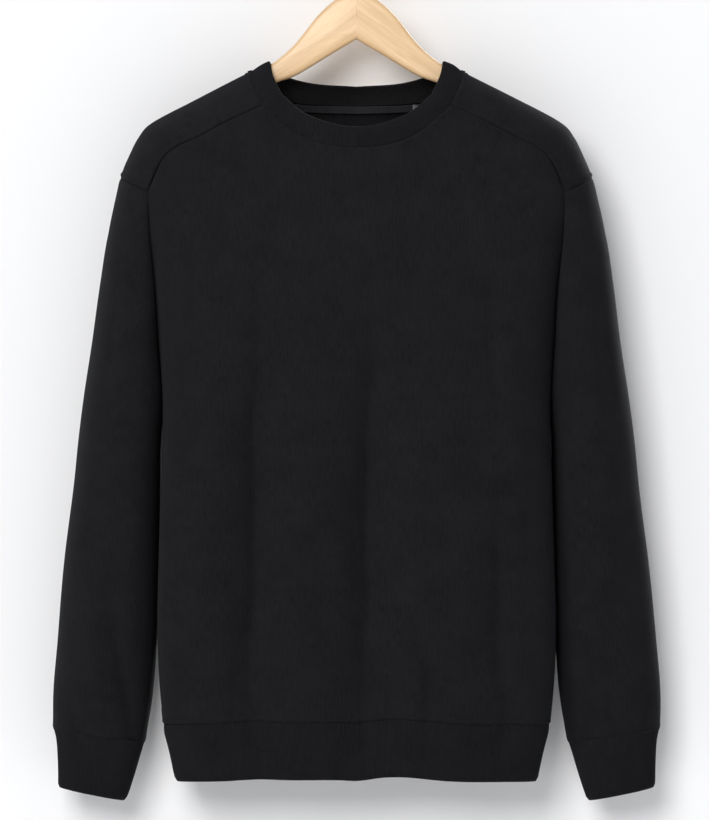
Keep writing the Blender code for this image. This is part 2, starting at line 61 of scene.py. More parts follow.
# %% [markdown]
# ## Camera
#
# Clothes on a plain wall are photographed square on and from far away, so that the sleeves and
# the hem keep their true widths. A long lens at six metres does this.

# %% Camera
CAMERA_FAR = 6.0
VIEW_TALL = 0.82
VIEW_CENTRE = (-0.0015, -0.476)

camera_data = bpy.data.cameras.new("Camera")
camera_data.lens = camera_data.sensor_width * CAMERA_FAR / VIEW_TALL
camera = bpy.data.objects.new("Camera", camera_data)
camera.location = (VIEW_CENTRE[0], -CAMERA_FAR, VIEW_CENTRE[1])
camera.rotation_euler = (math.pi / 2, 0, 0)
bpy.context.scene.collection.objects.link(camera)
bpy.context.scene.camera = camera
print("lens", round(camera_data.lens), "mm")

# %% [markdown]
# ## Measures of the garment
#
# A pattern cutter works from a few lengths and a few sections. These tables hold them. The body
# and the sleeves are level sections: their seams, their widest point and their two faces.

# %% Wall, ribs and seams
WALL = 1.9
RIB_WALL = 2.3
BAND_WALL = 2.5
CREASE_GAP = 0.0
ALLOWANCE = 3.0
HEM_RIB_HEIGHT = 57.0

# %% Sections of the body
BODY_COLUMNS = ("drop", "side", "seam_front", "seam_back", "front", "back")
BODY_SECTIONS = [
    (259, 207.5, -40, 40, -52, 46),
    (300, 206.0, -34, 40, -58, 51),
    (348, 201.5, -22, 36, -63, 56),
    (410, 198.0, -6, 28, -66, 60),
    (466, 193.5, 12, 12, -67, 62),
    (506, 193.8, 3, 3, -67, 62),
    (546, 195.0, 0, 0, -66, 62),
    (626, 197.5, 0, 0, -65, 62),
    (706, 198.5, 0, 0, -63, 60),
    (746, 196.5, 0, 0, -62, 59),
    (786, 193.0, 0, 0, -61, 58),
]
CREASE_TOP = 259.0
FIRST_SECTION = 300.0
UNDERARM = 466.0
HEM_SEAM = 786.0
HEM_SIDE_SAG = 3.0
BODY_ROUND = 4.2

# %% Shoulder ridge, shoulder seam and neck
RIDGE = [(236.5, 244), (227.5, 223), (217.5, 203), (203.5, 188), (158.5, 164), (106.5, 138)]
SHOULDER_SEAM = [
    (207.5, 259, -40), (193.5, 228, -42), (178.0, 214, -41), (158.5, 205, -40),
    (130.5, 190, -38), (93.0, 172, -34),
]
NECK_FRONT = [(93.0, 172, -34), (60.5, 200, -42), (30.0, 212, -45.5), (0.0, 215, -46.5)]
NECK_SIDE = [(106.5, 138, 0), (106.0, 139.4, -8), (102.5, 152, -22), (93.0, 172, -34)]
NECK_BACK = [(106.5, 138, 0), (105.8, 139.5, 9), (94.0, 156, 24), (60.0, 167, 32), (0.0, 170, 36)]
BAND_FRONT = [(74.0, 161, -28), (51.5, 180, -37), (21.5, 191.5, -41.5), (0.0, 194, -42)]
BAND_SIDE = [(86.5, 127, 0), (86.2, 128.4, -8), (83.0, 142, -19), (74.0, 161, -28)]
BAND_BACK = [(86.5, 127, 0), (85.8, 128.4, 9), (75.0, 139, 22), (44.0, 147.5, 28), (0.0, 150.5, 32)]
NOTCH_LIFT = 15.0

# %% Sections of the sleeves and cuffs
SLEEVE_COLUMNS = ("drop", "outer", "mid", "inner", "front", "back", "seam_front", "seam_back")
SLEEVE_SECTIONS = [
    (259, 236.5, 207.5, 207.5, -40, 40, -40, 40),
    (300, 248.5, 218.5, 206.0, -42, 46, -34, 40),
    (348, 256.5, 224.5, 201.5, -43, 52, -22, 36),
    (410, 265.0, 229.5, 198.0, -44, 58, -6, 28),
    (466, 273.5, 234.5, 193.5, -43, 62, 12, 12),
    (506, 278.5, 237.0, 195.8, -42, 63, 24, 24),
    (546, 282.5, 238.5, 196.4, -40, 63, 34, 34),
    (626, 292.5, 244.5, 198.0, -34, 60, 34, 34),
    (706, 299.5, 248.5, 200.0, -28, 55, 30, 30),
    (766, 304.5, 254.5, 205.0, -23, 50, 24, 24),
    (801, 304.5, 259.0, 211.5, -20, 45, 14, 14),
]
CUFF_SEAM = 801.0
CUFF_SLANT = (-5.0, 8.5)
SLEEVE_ROUND = 2.1
CREASE_ROUND = 2.8
CUFF_SECTIONS = [
    (801, 304.5, 259.0, 211.5, -20, 45, 14, 14),
    (811, 300.8, 259.0, 216.5, -18, 43, 14, 14),
    (830, 299.5, 260.0, 222.5, -16, 42, 13, 13),
    (856, 299.0, 266.0, 231.5, -14, 40, 13, 13),
]

# %% [markdown]
# ## Curves and sections
#
# Cloth hangs in smooth curves, so every edge is a spline through a few points and every section
# is a quarter of a superellipse, a rounded box whose corner can be made tighter or softer.

# %% Counts of the fine mesh
SHOULDER_COLS = 50
NECK_COLS = 42
CAP_ROWS = 36
BLEND_ROWS = 22
CREASE_ROWS = 48
SIDE_ROWS = 104
SLEEVE_ROWS = 96
COLS = SHOULDER_COLS + NECK_COLS
RIDGE_CROWD = 1.4

# %% Curves
def spline(points, per_span=24):
    """A smooth curve through the points, as many short steps."""
    pts = np.array(points, float)
    ends = np.vstack([2 * pts[0] - pts[1], pts, 2 * pts[-1] - pts[-2]])
    curve = []
    for i in range(1, len(ends) - 2):
        p0, p1, p2, p3 = ends[i - 1:i + 3]
        for t in np.linspace(0, 1, per_span, endpoint=False):
            curve.append(0.5 * (2 * p1 + (p2 - p0) * t + (2 * p0 - 5 * p1 + 4 * p2 - p3) * t ** 2
                                + (3 * p1 - p0 - 3 * p2 + p3) * t ** 3))
    return np.array(curve + [pts[-1]])


def even(curve, count, crowd=1.0):
    """The curve as count equal steps, or shorter ones at its start where crowd is over 1."""
    curve = np.array(curve, float)
    run = np.concatenate([[0], np.cumsum(np.linalg.norm(np.diff(curve, axis=0), axis=1))])
    at = run[-1] * np.linspace(0, 1, count + 1) ** crowd
    return np.stack([np.interp(at, run, column) for column in curve.T], axis=1)


def quarter(side, crown, roundness, steps=120):
    """A quarter of a superellipse from its side, where it runs in depth, to its crown."""
    angle = np.linspace(0, math.pi / 2, steps + 1)
    across = np.clip(np.cos(angle), 0, 1) ** (2 / roundness)
    along = np.clip(np.sin(angle), 0, 1) ** (2 / roundness)
    return np.stack([crown[0] + (side[0] - crown[0]) * across,
                     side[1] + (crown[1] - side[1]) * along], axis=1)


def section_at(table, names, drop):
    """The table's row at a height, by smooth interpolation between its rows."""
    rows = np.array(table, float)
    heights = rows[:, 0]
    slopes = np.gradient(rows, heights, axis=0)
    i = int(np.clip(np.searchsorted(heights, drop) - 1, 0, len(heights) - 2))
    span = heights[i + 1] - heights[i]
    t = (drop - heights[i]) / span
    row = ((2 * t ** 3 - 3 * t ** 2 + 1) * rows[i] + (t ** 3 - 2 * t ** 2 + t) * span * slopes[i]
           + (3 * t ** 2 - 2 * t ** 3) * rows[i + 1] + (t ** 3 - t ** 2) * span * slopes[i + 1])
    return dict(zip(names, row))


def coons(top, bottom, left, right):
    """The patch between four edges; top and bottom run left to right, the others downward."""
    v = np.linspace(0, 1, len(left))[:, None, None]
    u = np.linspace(0, 1, len(top))[None, :, None]
    ruled = (1 - v) * top[None] + v * bottom[None] + (1 - u) * left[:, None] + u * right[:, None]
    corners = ((1 - u) * (1 - v) * top[0] + u * (1 - v) * top[-1]
               + (1 - u) * v * bottom[0] + u * v * bottom[-1])
    return ruled - corners


# %% Level sections of body and sleeve
def hem_wave(x, front):
    """How far the hem seam wanders from level across the body; it rises at the strong folds."""
    rise = 3.0 * np.exp(-((x - 45) / 34) ** 2) + 1.2 * np.exp(-((x + 105) / 26) ** 2)
    sag = 1.6 * np.exp(-((x - 2) / 16) ** 2) + 1.0 * np.exp(-((x - 118) / 40) ** 2)
    return (sag - rise) * (1 if front else 0.5)


def body_section(drop, face):
    """Half a body section from the side seam to the middle; face is -1 in front, 1 behind."""
    row = section_at(BODY_SECTIONS, BODY_COLUMNS, drop)
    seam, crown = ("seam_front", "front") if face < 0 else ("seam_back", "back")
    flat = quarter((row["side"] - CREASE_GAP / 2, row[seam]), (0, row[crown]), BODY_ROUND)
    flat = even(flat, COLS)
    hang = np.full(COLS + 1, float(drop))
    if drop > UNDERARM:
        share = (drop - UNDERARM) / (HEM_SEAM - UNDERARM)
        hang += HEM_SIDE_SAG * share * (flat[:, 0] / row["side"]) ** 2
    return np.stack([flat[:, 0], hang, flat[:, 1]], axis=1)


def sleeve_ring(drop, table, count=CAP_ROWS):
    """A sleeve section from the seam in front, round the outside, to the seam behind."""
    row = section_at(table, SLEEVE_COLUMNS, drop)
    middle = (row["front"] + row["back"]) / 2
    inner = row["inner"] + CREASE_GAP / 2
    mid = max(row["mid"], inner)
    halves = []
    for crown, seam in ((row["front"], row["seam_front"]), (row["back"], row["seam_back"])):
        inside = quarter((inner, seam), (mid, crown), CREASE_ROUND)
        outside = quarter((row["outer"], middle), (mid, crown), SLEEVE_ROUND)[::-1]
        halves.append(even(np.vstack([inside, outside]), count))
    flat = np.vstack([halves[0], halves[1][::-1][1:]])
    return np.stack([flat[:, 0], np.full(len(flat), float(drop)), flat[:, 1]], axis=1)


def slant(ring, share):
    """Tilts a ring towards the cuff's slope."""
    low, high = ring[:, 0].min(), ring[:, 0].max()
    inward = (high - ring[:, 0]) / (high - low)
    ring[:, 1] += share * (CUFF_SLANT[0] + (CUFF_SLANT[1] - CUFF_SLANT[0]) * inward)
    return ring


# %% [markdown]
# ## The cut pieces as grids
#
# Each panel is a grid of points: rows run across the garment and columns run down it. The back
# comes forward over both shoulders to a seam below the ridge, which is the mark of this cut, so
# it has two flaps that share the ridge with the main grid.

# %% Grids of the sleeve and the front
def closing(start, end, count, crowd):
    """Heights from start to end whose steps get shorter towards the end."""
    return end - (end - start) * (1 - np.linspace(0, 1, count + 1)) ** crowd


def sleeve_rows():
    """All rings of a sleeve: the armhole's top, the crease, then down to the cuff."""
    turn = np.abs(np.linspace(-1, 1, 2 * CAP_ROWS + 1))
    rise = NOTCH_LIFT * np.sin((1 - turn) * math.pi / 2)
    rings = []
    for share in np.linspace(0, 1, BLEND_ROWS + 1):
        ring = sleeve_ring(CREASE_TOP + (FIRST_SECTION - CREASE_TOP) * share, SLEEVE_SECTIONS)
        ring[:, 1] -= rise * (1 - share)
        rings.append(ring)
    for drop in np.linspace(FIRST_SECTION, UNDERARM, CREASE_ROWS + 1)[1:]:
        rings.append(sleeve_ring(drop, SLEEVE_SECTIONS))
    for drop in closing(UNDERARM, CUFF_SEAM, SLEEVE_ROWS, 1.2)[1:]:
        share = ((drop - UNDERARM) / (CUFF_SEAM - UNDERARM)) ** 4
        rings.append(slant(sleeve_ring(drop, SLEEVE_SECTIONS), share))
    return np.array(rings)


def mirrored(half):
    """A half grid whose last column is the centre line, and its mirror image, side by side."""
    return np.concatenate([half * [-1, 1, 1], half[:, -2::-1]], axis=1)


def relaxed(rows, last, passes=240):
    """Evens out the cloth above a row, as fabric does; the grid's edges stay where they are."""
    rows = rows.copy()
    row = np.arange(len(rows))
    fade = np.clip(np.minimum((last - row) / 20, (row - 6) / 22), 0, 1)[1:-1, None, None]
    for _ in range(passes):
        near = (rows[:-2, 1:-1] + rows[2:, 1:-1] + rows[1:-1, :-2] + rows[1:-1, 2:]) / 4
        rows[1:-1, 1:-1] += 0.5 * fade * (near - rows[1:-1, 1:-1])
    return rows


def level_rows(face):
    """The body's half sections below the first one, down to the hem seam."""
    drops = np.concatenate([np.linspace(FIRST_SECTION, UNDERARM, CREASE_ROWS + 1)[1:],
                            closing(UNDERARM, HEM_SEAM, SIDE_ROWS, 1.2)[1:]])
    return [body_section(drop, face) for drop in drops]


def wavy(rows, front):
    """Lets the lower edge of a body grid wander, more the nearer a row is to the hem."""
    share = np.clip((rows[..., 1] - (HEM_SEAM - 90)) / 90, 0, 1.1)
    rows[..., 1] += share ** 2 * hem_wave(rows[..., 0], front)
    return rows


def front_rows():
    """The front panel, row by row from the shoulder and neck seams to the hem."""
    sleeve = sleeve_rows()
    top = np.vstack([even(spline(SHOULDER_SEAM), SHOULDER_COLS),
                     even(spline(NECK_FRONT), NECK_COLS)[1:]])
    top[0] = sleeve[0][0] - [CREASE_GAP, 0, 0]
    bottom = body_section(FIRST_SECTION, -1)
    left = sleeve[:BLEND_ROWS + 1, 0] - [CREASE_GAP, 0, 0]
    share = np.linspace(0, 1, BLEND_ROWS + 1)[:, None]
    ease = np.hstack([share, share, np.sin(share * math.pi / 2)])
    middle = top[-1] + (bottom[-1] - top[-1]) * ease
    rows = list(coons(top, bottom, left, middle)) + level_rows(-1)
    return wavy(relaxed(mirrored(np.array(rows)), BLEND_ROWS + CREASE_ROWS), True)


# %% Grids of the back
def shoulder_ridge():
    """The top of a shoulder, from the armhole to the neck."""
    ridge = even(spline([(x, drop, 0) for x, drop in RIDGE]), SHOULDER_COLS)
    ridge[0] = sleeve_rows()[0][CAP_ROWS]
    return ridge


def back_rows():
    """The back panel behind the shoulder ridge, row by row down to the hem."""
    sleeve = sleeve_rows()
    ridge = shoulder_ridge()
    neck = even(spline(NECK_BACK), NECK_COLS, RIDGE_CROWD)
    bottom = body_section(FIRST_SECTION, 1)
    left = np.vstack([sleeve[0][CAP_ROWS:], sleeve[1:BLEND_ROWS + 1, -1] - [CREASE_GAP, 0, 0]])
    share = np.linspace(0, 1, len(left))
    corner = bottom[SHOULDER_COLS]
    fall = even(quarter((ridge[-1][1], 0), (corner[1], corner[2]), 2.2), len(left) - 1)
    inside = ridge[-1][0] + (corner[0] - ridge[-1][0]) * share
    between = np.stack([inside, fall[:, 0], fall[:, 1]], axis=1)
    ease = np.stack([share, share, np.sin(share * math.pi / 2)], axis=1)
    middle = neck[-1] + (bottom[-1] - neck[-1]) * ease
    shoulder = coons(ridge, bottom[:SHOULDER_COLS + 1], left, between)
    centre = coons(neck, bottom[SHOULDER_COLS:], between, middle)
    rows = list(np.concatenate([shoulder, centre[:, 1:]], axis=1)) + level_rows(1)
    last = CAP_ROWS + BLEND_ROWS + CREASE_ROWS
    return wavy(relaxed(mirrored(np.array(rows)), last), False)


def flap_rows():
    """The part of the back that comes forward over a shoulder to the shoulder seam."""
    top = sleeve_rows()[0]
    seam = even(spline(SHOULDER_SEAM), SHOULDER_COLS)
    seam[0] = top[0]
    return coons(shoulder_ridge(), seam, top[:CAP_ROWS + 1][::-1],
                 even(spline(NECK_SIDE), CAP_ROWS))


def round_neck(front, side, back):
    """The whole neck edge as a closed ring, from half of it."""
    half = np.vstack([even(spline(front), NECK_COLS)[::-1],
                      even(spline(side), CAP_ROWS)[::-1][1:],
                      even(spline(back), NECK_COLS, RIDGE_CROWD)[1:]])
    return np.vstack([half * [-1, 1, 1], half[-2:0:-1]])


FRONT, BACK, FLAP, SLEEVE = front_rows(), back_rows(), flap_rows(), sleeve_rows()
print("front grid", FRONT.shape[:2], "back grid", BACK.shape[:2], "sleeve", SLEEVE.shape[:2])

# %% [markdown]
# ## Folds
#
# A heavy fleece does not crumple: it hangs in a few long, soft troughs that start below the
# chest and end at the rib. Each row of these tables is one trough. A negative depth is a
# ridge. Troughs press a face in along its own normal, so they fade at the sides.

# %% Fold tables: top_x, top, low_x, low, width, depth
FRONT_FOLDS = [
    (-97, 330, -105, 786, 17, 21.0),
    (-52, 380, -58, 786, 22, -3.0),
    (-142, 460, -148, 786, 18, -2.4),
    (15, 345, 9, 786, 19, 22.0),
    (62, 410, 54, 786, 22, -3.4),
    (133, 310, 138, 520, 12, 4.5),
    (136, 540, 148, 786, 14, 10.0),
    (108, 520, 102, 786, 18, -2.0),
    (-162, 290, -160, 440, 10, 3.4),
    (73, 712, 69, 786, 5, 4.0),
    (33, 726, 31, 786, 5, 3.2),
    (-120, 716, -126, 786, 5, 2.4),
    (176, 470, 170, 720, 14, 3.0),
]
BACK_FOLDS = [
    (-70, 330, -82, 786, 17, 16.0),
    (-32, 420, -40, 786, 20, -2.6),
    (52, 360, 66, 786, 19, 17.0),
    (98, 430, 104, 786, 18, -2.6),
    (138, 540, 132, 786, 14, 8.0),
    (-150, 500, -146, 786, 14, 6.0),
    (0, 250, 4, 440, 26, 3.0),
]
SLEEVE_FOLDS = {
    "left": [
        (-247, 640, -222, 800, 9, 8.0),
        (-291, 752, -276, 800, 8, 4.5),
        (-270, 690, -250, 800, 12, -2.0),
        (-234, 280, -250, 520, 11, 3.6),
        (-258, 470, -264, 680, 12, 2.8),
    ],
    "right": [
        (240, 260, 247, 540, 10, 5.5),
        (234, 730, 231, 800, 6, 5.0),
        (290, 742, 292, 800, 6, 4.6),
        (262, 590, 254, 800, 10, 4.0),
        (268, 430, 274, 660, 12, 3.0),
    ],
}
SLEEVE_BACK_FOLDS = [
    (250, 330, 262, 580, 12, 5.0),
    (240, 560, 262, 798, 10, 6.0),
]

# %% Pressing folds into a face
AT_HEM = 0.5
KEEL = 0.06


def press(points, normals, folds, face):
    """How far the folds push each point in; face is -1 in front and 1 behind."""
    x, drop = points[:, 0], points[:, 1]
    facing = np.clip(1.25 * face * normals[:, 2], 0, 1)
    depth_in = np.zeros(len(x))
    for top_x, top, low_x, low, width, depth in folds:
        share = (drop - top) / (low - top)
        inside = (share > 0) & ((share < 1) | (low >= HEM_SEAM))
        share = np.clip(share, 0, 1)
        kept = AT_HEM if low >= HEM_SEAM else 0.0
        growing = np.sin(math.pi / 2 * np.clip(share / 0.6, 0, 1)) ** 1.3
        fading = 1 - (1 - kept) * np.clip((share - 0.6) / 0.4, 0, 1) ** 2
        wander = 1.8 * np.sin(drop / 37 + top_x) + 0.9 * np.sin(drop / 17 + low)
        line = top_x + (low_x - top_x) * share + wander
        across = np.sqrt(((x - line) / (width * (0.75 + 0.4 * share))) ** 2 + KEEL)
        depth_in += depth * inside * growing * fading * np.exp(math.sqrt(KEEL) - across)
    return depth_in * facing


def swell(points, seed, size, amount):
    """Slow, shallow unevenness, as in any cloth that has been worn and washed."""
    picks = np.random.default_rng(seed)
    height = np.zeros(len(points))
    for _ in range(9):
        a, b, c = picks.normal(size=3) / size
        height += np.sin(points @ [a, 0.6 * b, c] + picks.uniform(0, 6.28)) / 3
    return amount * height


# %% [markdown]
# ## Seams
#
# Where two pieces are sewn, the cloth is turned under and flattened by a line of stitches. So
# at a seam the surface dips into a narrow ditch, rises in a flat welt a few millimetres wide,
# and returns to the panel. The height follows the distance to the piece's own cut edge.

# %% Seam profiles: distance from the edge, and height there
WELT = ([0, 0.8, 2.0, 3.8, 5.0, 6.8, 9.0], [-1.3, 0.0, 0.75, 0.85, -0.5, -0.1, 0.0])
PLAIN = ([0, 1.8, 4.0, 7.0], [-1.1, -0.35, 0.0, 0.0])


def edge_tree(shape):
    """A search tree of points along a mesh's open edges."""
    points = []
    for edge in shape.edges:
        if edge.is_boundary:
            a, b = edge.verts[0].co, edge.verts[1].co
            points += [a.lerp(b, t / 4) for t in range(4)]
    tree = KDTree(len(points))
    for i, point in enumerate(points):
        tree.insert(point, i)
    tree.balance()
    return tree


# %% [markdown]
# ## From grid to cloth
#
# A cut piece becomes a mesh of quads with a texture map laid out in metres along the cloth, so
# that the knit keeps its size and its direction on every piece. A Solidify modifier gives the
# wall, and it is applied, so the piece is real cloth with two faces.

# %% Making a piece of cloth
def flat_map(rows, closed):
    """Where each point of a grid lies on the flat cloth, in millimetres."""
    across = np.cumsum(np.linalg.norm(np.diff(rows, axis=1, prepend=rows[:, :1]), axis=2), axis=1)
    down = np.cumsum(np.linalg.norm(np.diff(rows, axis=0, prepend=rows[:1]), axis=2), axis=0)
    middle = rows.shape[1] // 2
    if not closed:
        across = across - across[:, middle:middle + 1]
    level = down[:, middle:middle + 1] + 0 * across
    return np.stack([across, -level], axis=-1)


def grid_mesh(grids, closed):
    """Corner points, quads and texture corners of one or more grids of (rows, flip)."""
    points, faces, maps = [], [], []
    for rows, flip in grids:
        count, cols = rows.shape[:2]
        i = np.arange(cols if closed else cols - 1)[None, :]
        j = (i + 1) % cols
        top = np.arange(count - 1)[:, None] * cols
        quads = np.stack([top + i, top + cols + i, top + cols + j, top + j], -1).reshape(-1, 4)
        corner = flat_map(rows, closed).reshape(-1, 2)[quads]
        if closed:
            last = (quads[:, 2] % cols) == 0
            corner[last, 2:, 0] = corner[last, :2, 0][:, ::-1] + 2.0
        if flip:
            quads, corner = quads[:, ::-1], corner[:, ::-1]
        faces.append(quads + sum(len(p) for p in points))
        points.append(rows.reshape(-1, 3))
        maps.append(corner)
    return np.vstack(points), np.vstack(faces), np.vstack(maps)


def to_space(points):
    """From x, drop and depth in millimetres to metres with z up."""
    return points[:, [0, 2, 1]] * [MM, MM, -MM]


def to_pattern(points):
    """From metres with z up to x, drop and depth in millimetres."""
    return points[:, [0, 2, 1]] / [MM, -MM, MM]


def only_selected(piece):
    """Selects one piece and nothing else."""
    bpy.ops.object.select_all(action="DESELECT")
    piece.select_set(True)
    bpy.context.view_layer.objects.active = piece


def new_piece(name, data):
    """Links a mesh as an object."""
    piece = bpy.data.objects.new(name, data)
    bpy.context.scene.collection.objects.link(piece)
    return piece


def cloth(name, grids, wall, shaping, closed=False, relief=None):
    """One cut piece: shaping(points, normals, edge distance) gives each point's rise.

    Relief is a finer height that both faces of the finished wall follow, such as ribs.
    """
    points, faces, maps = grid_mesh(grids, closed)
    data = bpy.data.meshes.new(name)
    data.from_pydata(to_space(points).tolist(), [], faces.tolist())
    data.uv_layers.new(name="Cloth").data.foreach_set("uv", (maps.reshape(-1, 2) * MM).ravel())
    shape = bmesh.new()
    shape.from_mesh(data)
    bmesh.ops.remove_doubles(shape, verts=shape.verts, dist=2e-5)
    shape.normal_update()
    tree = edge_tree(shape)
    places = np.array([v.co for v in shape.verts])
    normals = np.array([v.normal for v in shape.verts])
    away = np.array([tree.find(v.co)[2] for v in shape.verts]) / MM
    rise = shaping(to_pattern(places), to_pattern(normals * MM), away)
    moved = places + normals * rise[:, None] * MM
    for vert, place in zip(shape.verts, moved):
        vert.co = place
    shape.to_mesh(data)
    shape.free()
    data.shade_smooth()
    piece = new_piece(name, data)
    solid = piece.modifiers.new("Wall", "SOLIDIFY")
    solid.thickness = wall * MM
    solid.offset = -1
    only_selected(piece)
    bpy.ops.object.modifier_apply(modifier="Wall")
    if relief is not None:
        lift = normals * relief[:, None] * MM
        for half in (data.vertices[:len(lift)], data.vertices[len(lift):]):
            for vert, step in zip(half, lift):
                vert.co += Vector(step)
    piece["cloth_m2"] = sum(polygon.area for polygon in data.polygons) / 2
    print(name, len(data.polygons), "faces,", round(piece["cloth_m2"], 4), "m2")
    return piece


# %% [markdown]
# ## Panels
#
# The front and the back are sewn along the shoulders and share the side creases. Both take
# their folds from the tables, and every edge sinks into its seam.

# %% Front and back
def inset(rows, first=0.0, last=0.0, sides=0.0):
    """The grid with its edges drawn back a little, so that neighbours never touch."""
    rows = rows.copy()
    for at, towards, gap in ((0, 1, first), (-1, -2, last)):
        step = rows[towards] - rows[at]
        rows[at] += gap * step / np.maximum(np.linalg.norm(step, axis=-1, keepdims=True), 1e-6)
    for at, towards in ((0, 1), (-1, -2)):
        step = rows[:, towards] - rows[:, at]
        rows[:, at] += sides * step / np.maximum(np.linalg.norm(step, axis=-1, keepdims=True), 1e-6)
    return rows


def seam_rise(away, welted, drop):
    """The height beside a seam: a welt, a plain dip, or nothing along the side creases."""
    crease = np.clip((drop - CREASE_TOP + 4) / 6, 0, 1) * np.clip((HEM_SEAM - 8 - drop) / 6, 0, 1)
    plain = np.interp(away, *PLAIN) * (1 - crease)
    return np.where(welted, np.interp(away, *WELT), plain)


def with_allowance(rows):
    """Turns the body's side edges in along the armhole crease, as a seam allowance lies."""
    rows = rows.copy()
    drop = rows[:, 0, 1]
    table = np.array([[row[BODY_COLUMNS.index(name)] for name in ("drop", "seam_front", "seam_back")]
                      for row in BODY_SECTIONS])
    room = (np.interp(drop, table[:, 0], table[:, 2]) - np.interp(drop, table[:, 0], table[:, 1])) / 2
    reach = np.clip(room - 1, 0, ALLOWANCE) * np.clip((drop - CREASE_TOP) / 6, 0, 1)
    reach = reach * (drop < UNDERARM)
    for at, towards in ((0, 1), (-1, -2)):
        step = rows[:, towards] - rows[:, at]
        step = step / np.maximum(np.linalg.norm(step, axis=1, keepdims=True), 1e-6)
        rows[:, at] -= reach[:, None] * step
    return rows


def front_shape(points, normals, away):
    """Folds, unevenness and seams of the front."""
    x, drop = np.abs(points[:, 0]), points[:, 1]
    at_neck = (x < 99) & (drop < 240)
    at_hem = drop > HEM_SEAM - 12
    fade = np.clip(away / 12, 0, 1)
    return (seam_rise(away, at_neck | at_hem, drop)
            + fade * swell(points, 11, 46, 0.5) - press(points, normals, FRONT_FOLDS, -1))


def back_shape(points, normals, away):
    """Folds, unevenness and seams of the back; its front edges carry the shoulder's welt."""
    drop, depth = points[:, 1], points[:, 2]
    welted = ((depth < 1) & (drop < CREASE_TOP - 3)) | (drop < 200) | (drop > HEM_SEAM - 12)
    fade = np.clip(away / 12, 0, 1)
    return (seam_rise(away, welted, drop) + fade * swell(points, 12, 46, 0.5)
            - press(points, normals, BACK_FOLDS, 1))


front = cloth("front_cloth", [(with_allowance(inset(FRONT, 0.05, 0.1)), False)], WALL, front_shape)
back_grid = with_allowance(inset(BACK, 0.0, 0.1))
flap_grid = inset(FLAP, 0.0, 0.1)
flap_grid[0] = (back_grid[0, :SHOULDER_COLS + 1] * [-1, 1, 1])
back = cloth("back_cloth", [(back_grid, True), (flap_grid * [-1, 1, 1], False),
                            (flap_grid, True)], WALL, back_shape)

# %% [markdown]
# ## Sleeves
#
# A sleeve is one piece rolled into a tube, with its seam in the crease under the arm. The two
# hang a little differently, so each has folds of its own.

# %% Sleeves
def sleeve_shape(side):
    """Folds, unevenness and seams of one sleeve."""
    sign = -1 if side == "left" else 1
    behind = [(sign * a, top, sign * b, low, w, d) for a, top, b, low, w, d in SLEEVE_BACK_FOLDS]
    seed = 21 if side == "left" else 22

    def shaping(points, normals, away):
        fade = np.clip(away / 12, 0, 1)
        return (seam_rise(away, False, points[:, 1]) + fade * swell(points, seed, 34, 0.55)
                - press(points, normals, SLEEVE_FOLDS[side], -1)
                - press(points, normals, behind, 1))
    return shaping


sleeve_grid = with_allowance(inset(SLEEVE, 0.0, 0.1))
sleeve_left = cloth("sleeve_left_cloth", [(sleeve_grid * [-1, 1, 1], True)], WALL,
                    sleeve_shape("left"))
sleeve_right = cloth("sleeve_right_cloth", [(sleeve_grid, False)], WALL, sleeve_shape("right"))

# %% [markdown]
# ## Ribs
#
# Neckband, hem and cuffs are knitted in ribs that stand up and down every two or three
# millimetres. At this size the ribs are real geometry: four columns of points for each rib, two
# high and two low, which a smooth shading rounds off. The ribs fade out at the folded edge.

# %% Ribbed bands
RIB_PITCH = 2.6
RIB_RISE = 0.24
COLS_PER_RIB = 4


def ribbed(name, rings, rows, wall, flip, seed, edge_roll=1.2):
    """A closed rib band through rings of points, from its sewn edge to its folded edge."""
    rings = np.array(rings)
    around = np.linalg.norm(np.diff(np.vstack([rings[0], rings[0][:1]]), axis=0), axis=1).sum()
    count = COLS_PER_RIB * int(around / RIB_PITCH)
    dense = [even(np.vstack([ring, ring[:1]]), count)[:-1] for ring in rings]
    down = spline_rows(np.array(dense), rows)
    share = np.linspace(0, 1, rows + 1)
    wave = np.sin(2 * math.pi * (np.arange(count) + 0.5) / COLS_PER_RIB) * math.sqrt(2)
    ribs = RIB_RISE * wave[None, :] * np.clip(np.minimum(share / 0.03, (1 - share) / 0.05), 0, 1)[:, None]

    def shaping(points, normals, away):
        roll = -edge_roll * np.clip(1 - away / 1.6, 0, 1) ** 2
        return roll + np.clip(away / 10, 0, 1) * swell(points, seed, 30, 0.35)
    return cloth(name, [(down, flip)], wall, shaping, closed=True, relief=ribs.ravel())


def spline_rows(rings, count):
    """A smooth surface through a few rings, as count bands."""
    path = np.array([spline(rings[:, i], 12) for i in range(rings.shape[1])])
    at = np.linspace(0, path.shape[1] - 1, count + 1)
    low = np.clip(at.astype(int), 0, path.shape[1] - 2)
    part = (at - low)[None, :, None]
    return (path[:, low] * (1 - part) + path[:, low + 1] * part).swapaxes(0, 1)


# %% Neckband
neck_seam = round_neck(NECK_FRONT, NECK_SIDE, NECK_BACK)
neck_edge = round_neck(BAND_FRONT, BAND_SIDE, BAND_BACK)
bulge = (neck_seam + neck_edge) / 2
bulge[:, 1] -= 1.0
bulge[:, 2] += np.sign(bulge[:, 2]) * 1.2
leaving = (neck_seam - neck_edge) / np.linalg.norm(neck_seam - neck_edge, axis=1, keepdims=True)
around = np.roll(neck_seam, -1, axis=0) - np.roll(neck_seam, 1, axis=0)
outside = np.cross(leaving, around)
outside /= np.linalg.norm(outside, axis=1, keepdims=True)
outside *= np.sign((outside * np.sign(neck_seam) * [0, 0, 1]).sum())
tucked = neck_seam + 1.4 * leaving - 0.9 * outside
neckband = ribbed("neckband_cloth", [tucked, bulge, neck_edge], 18, BAND_WALL, False, 31)

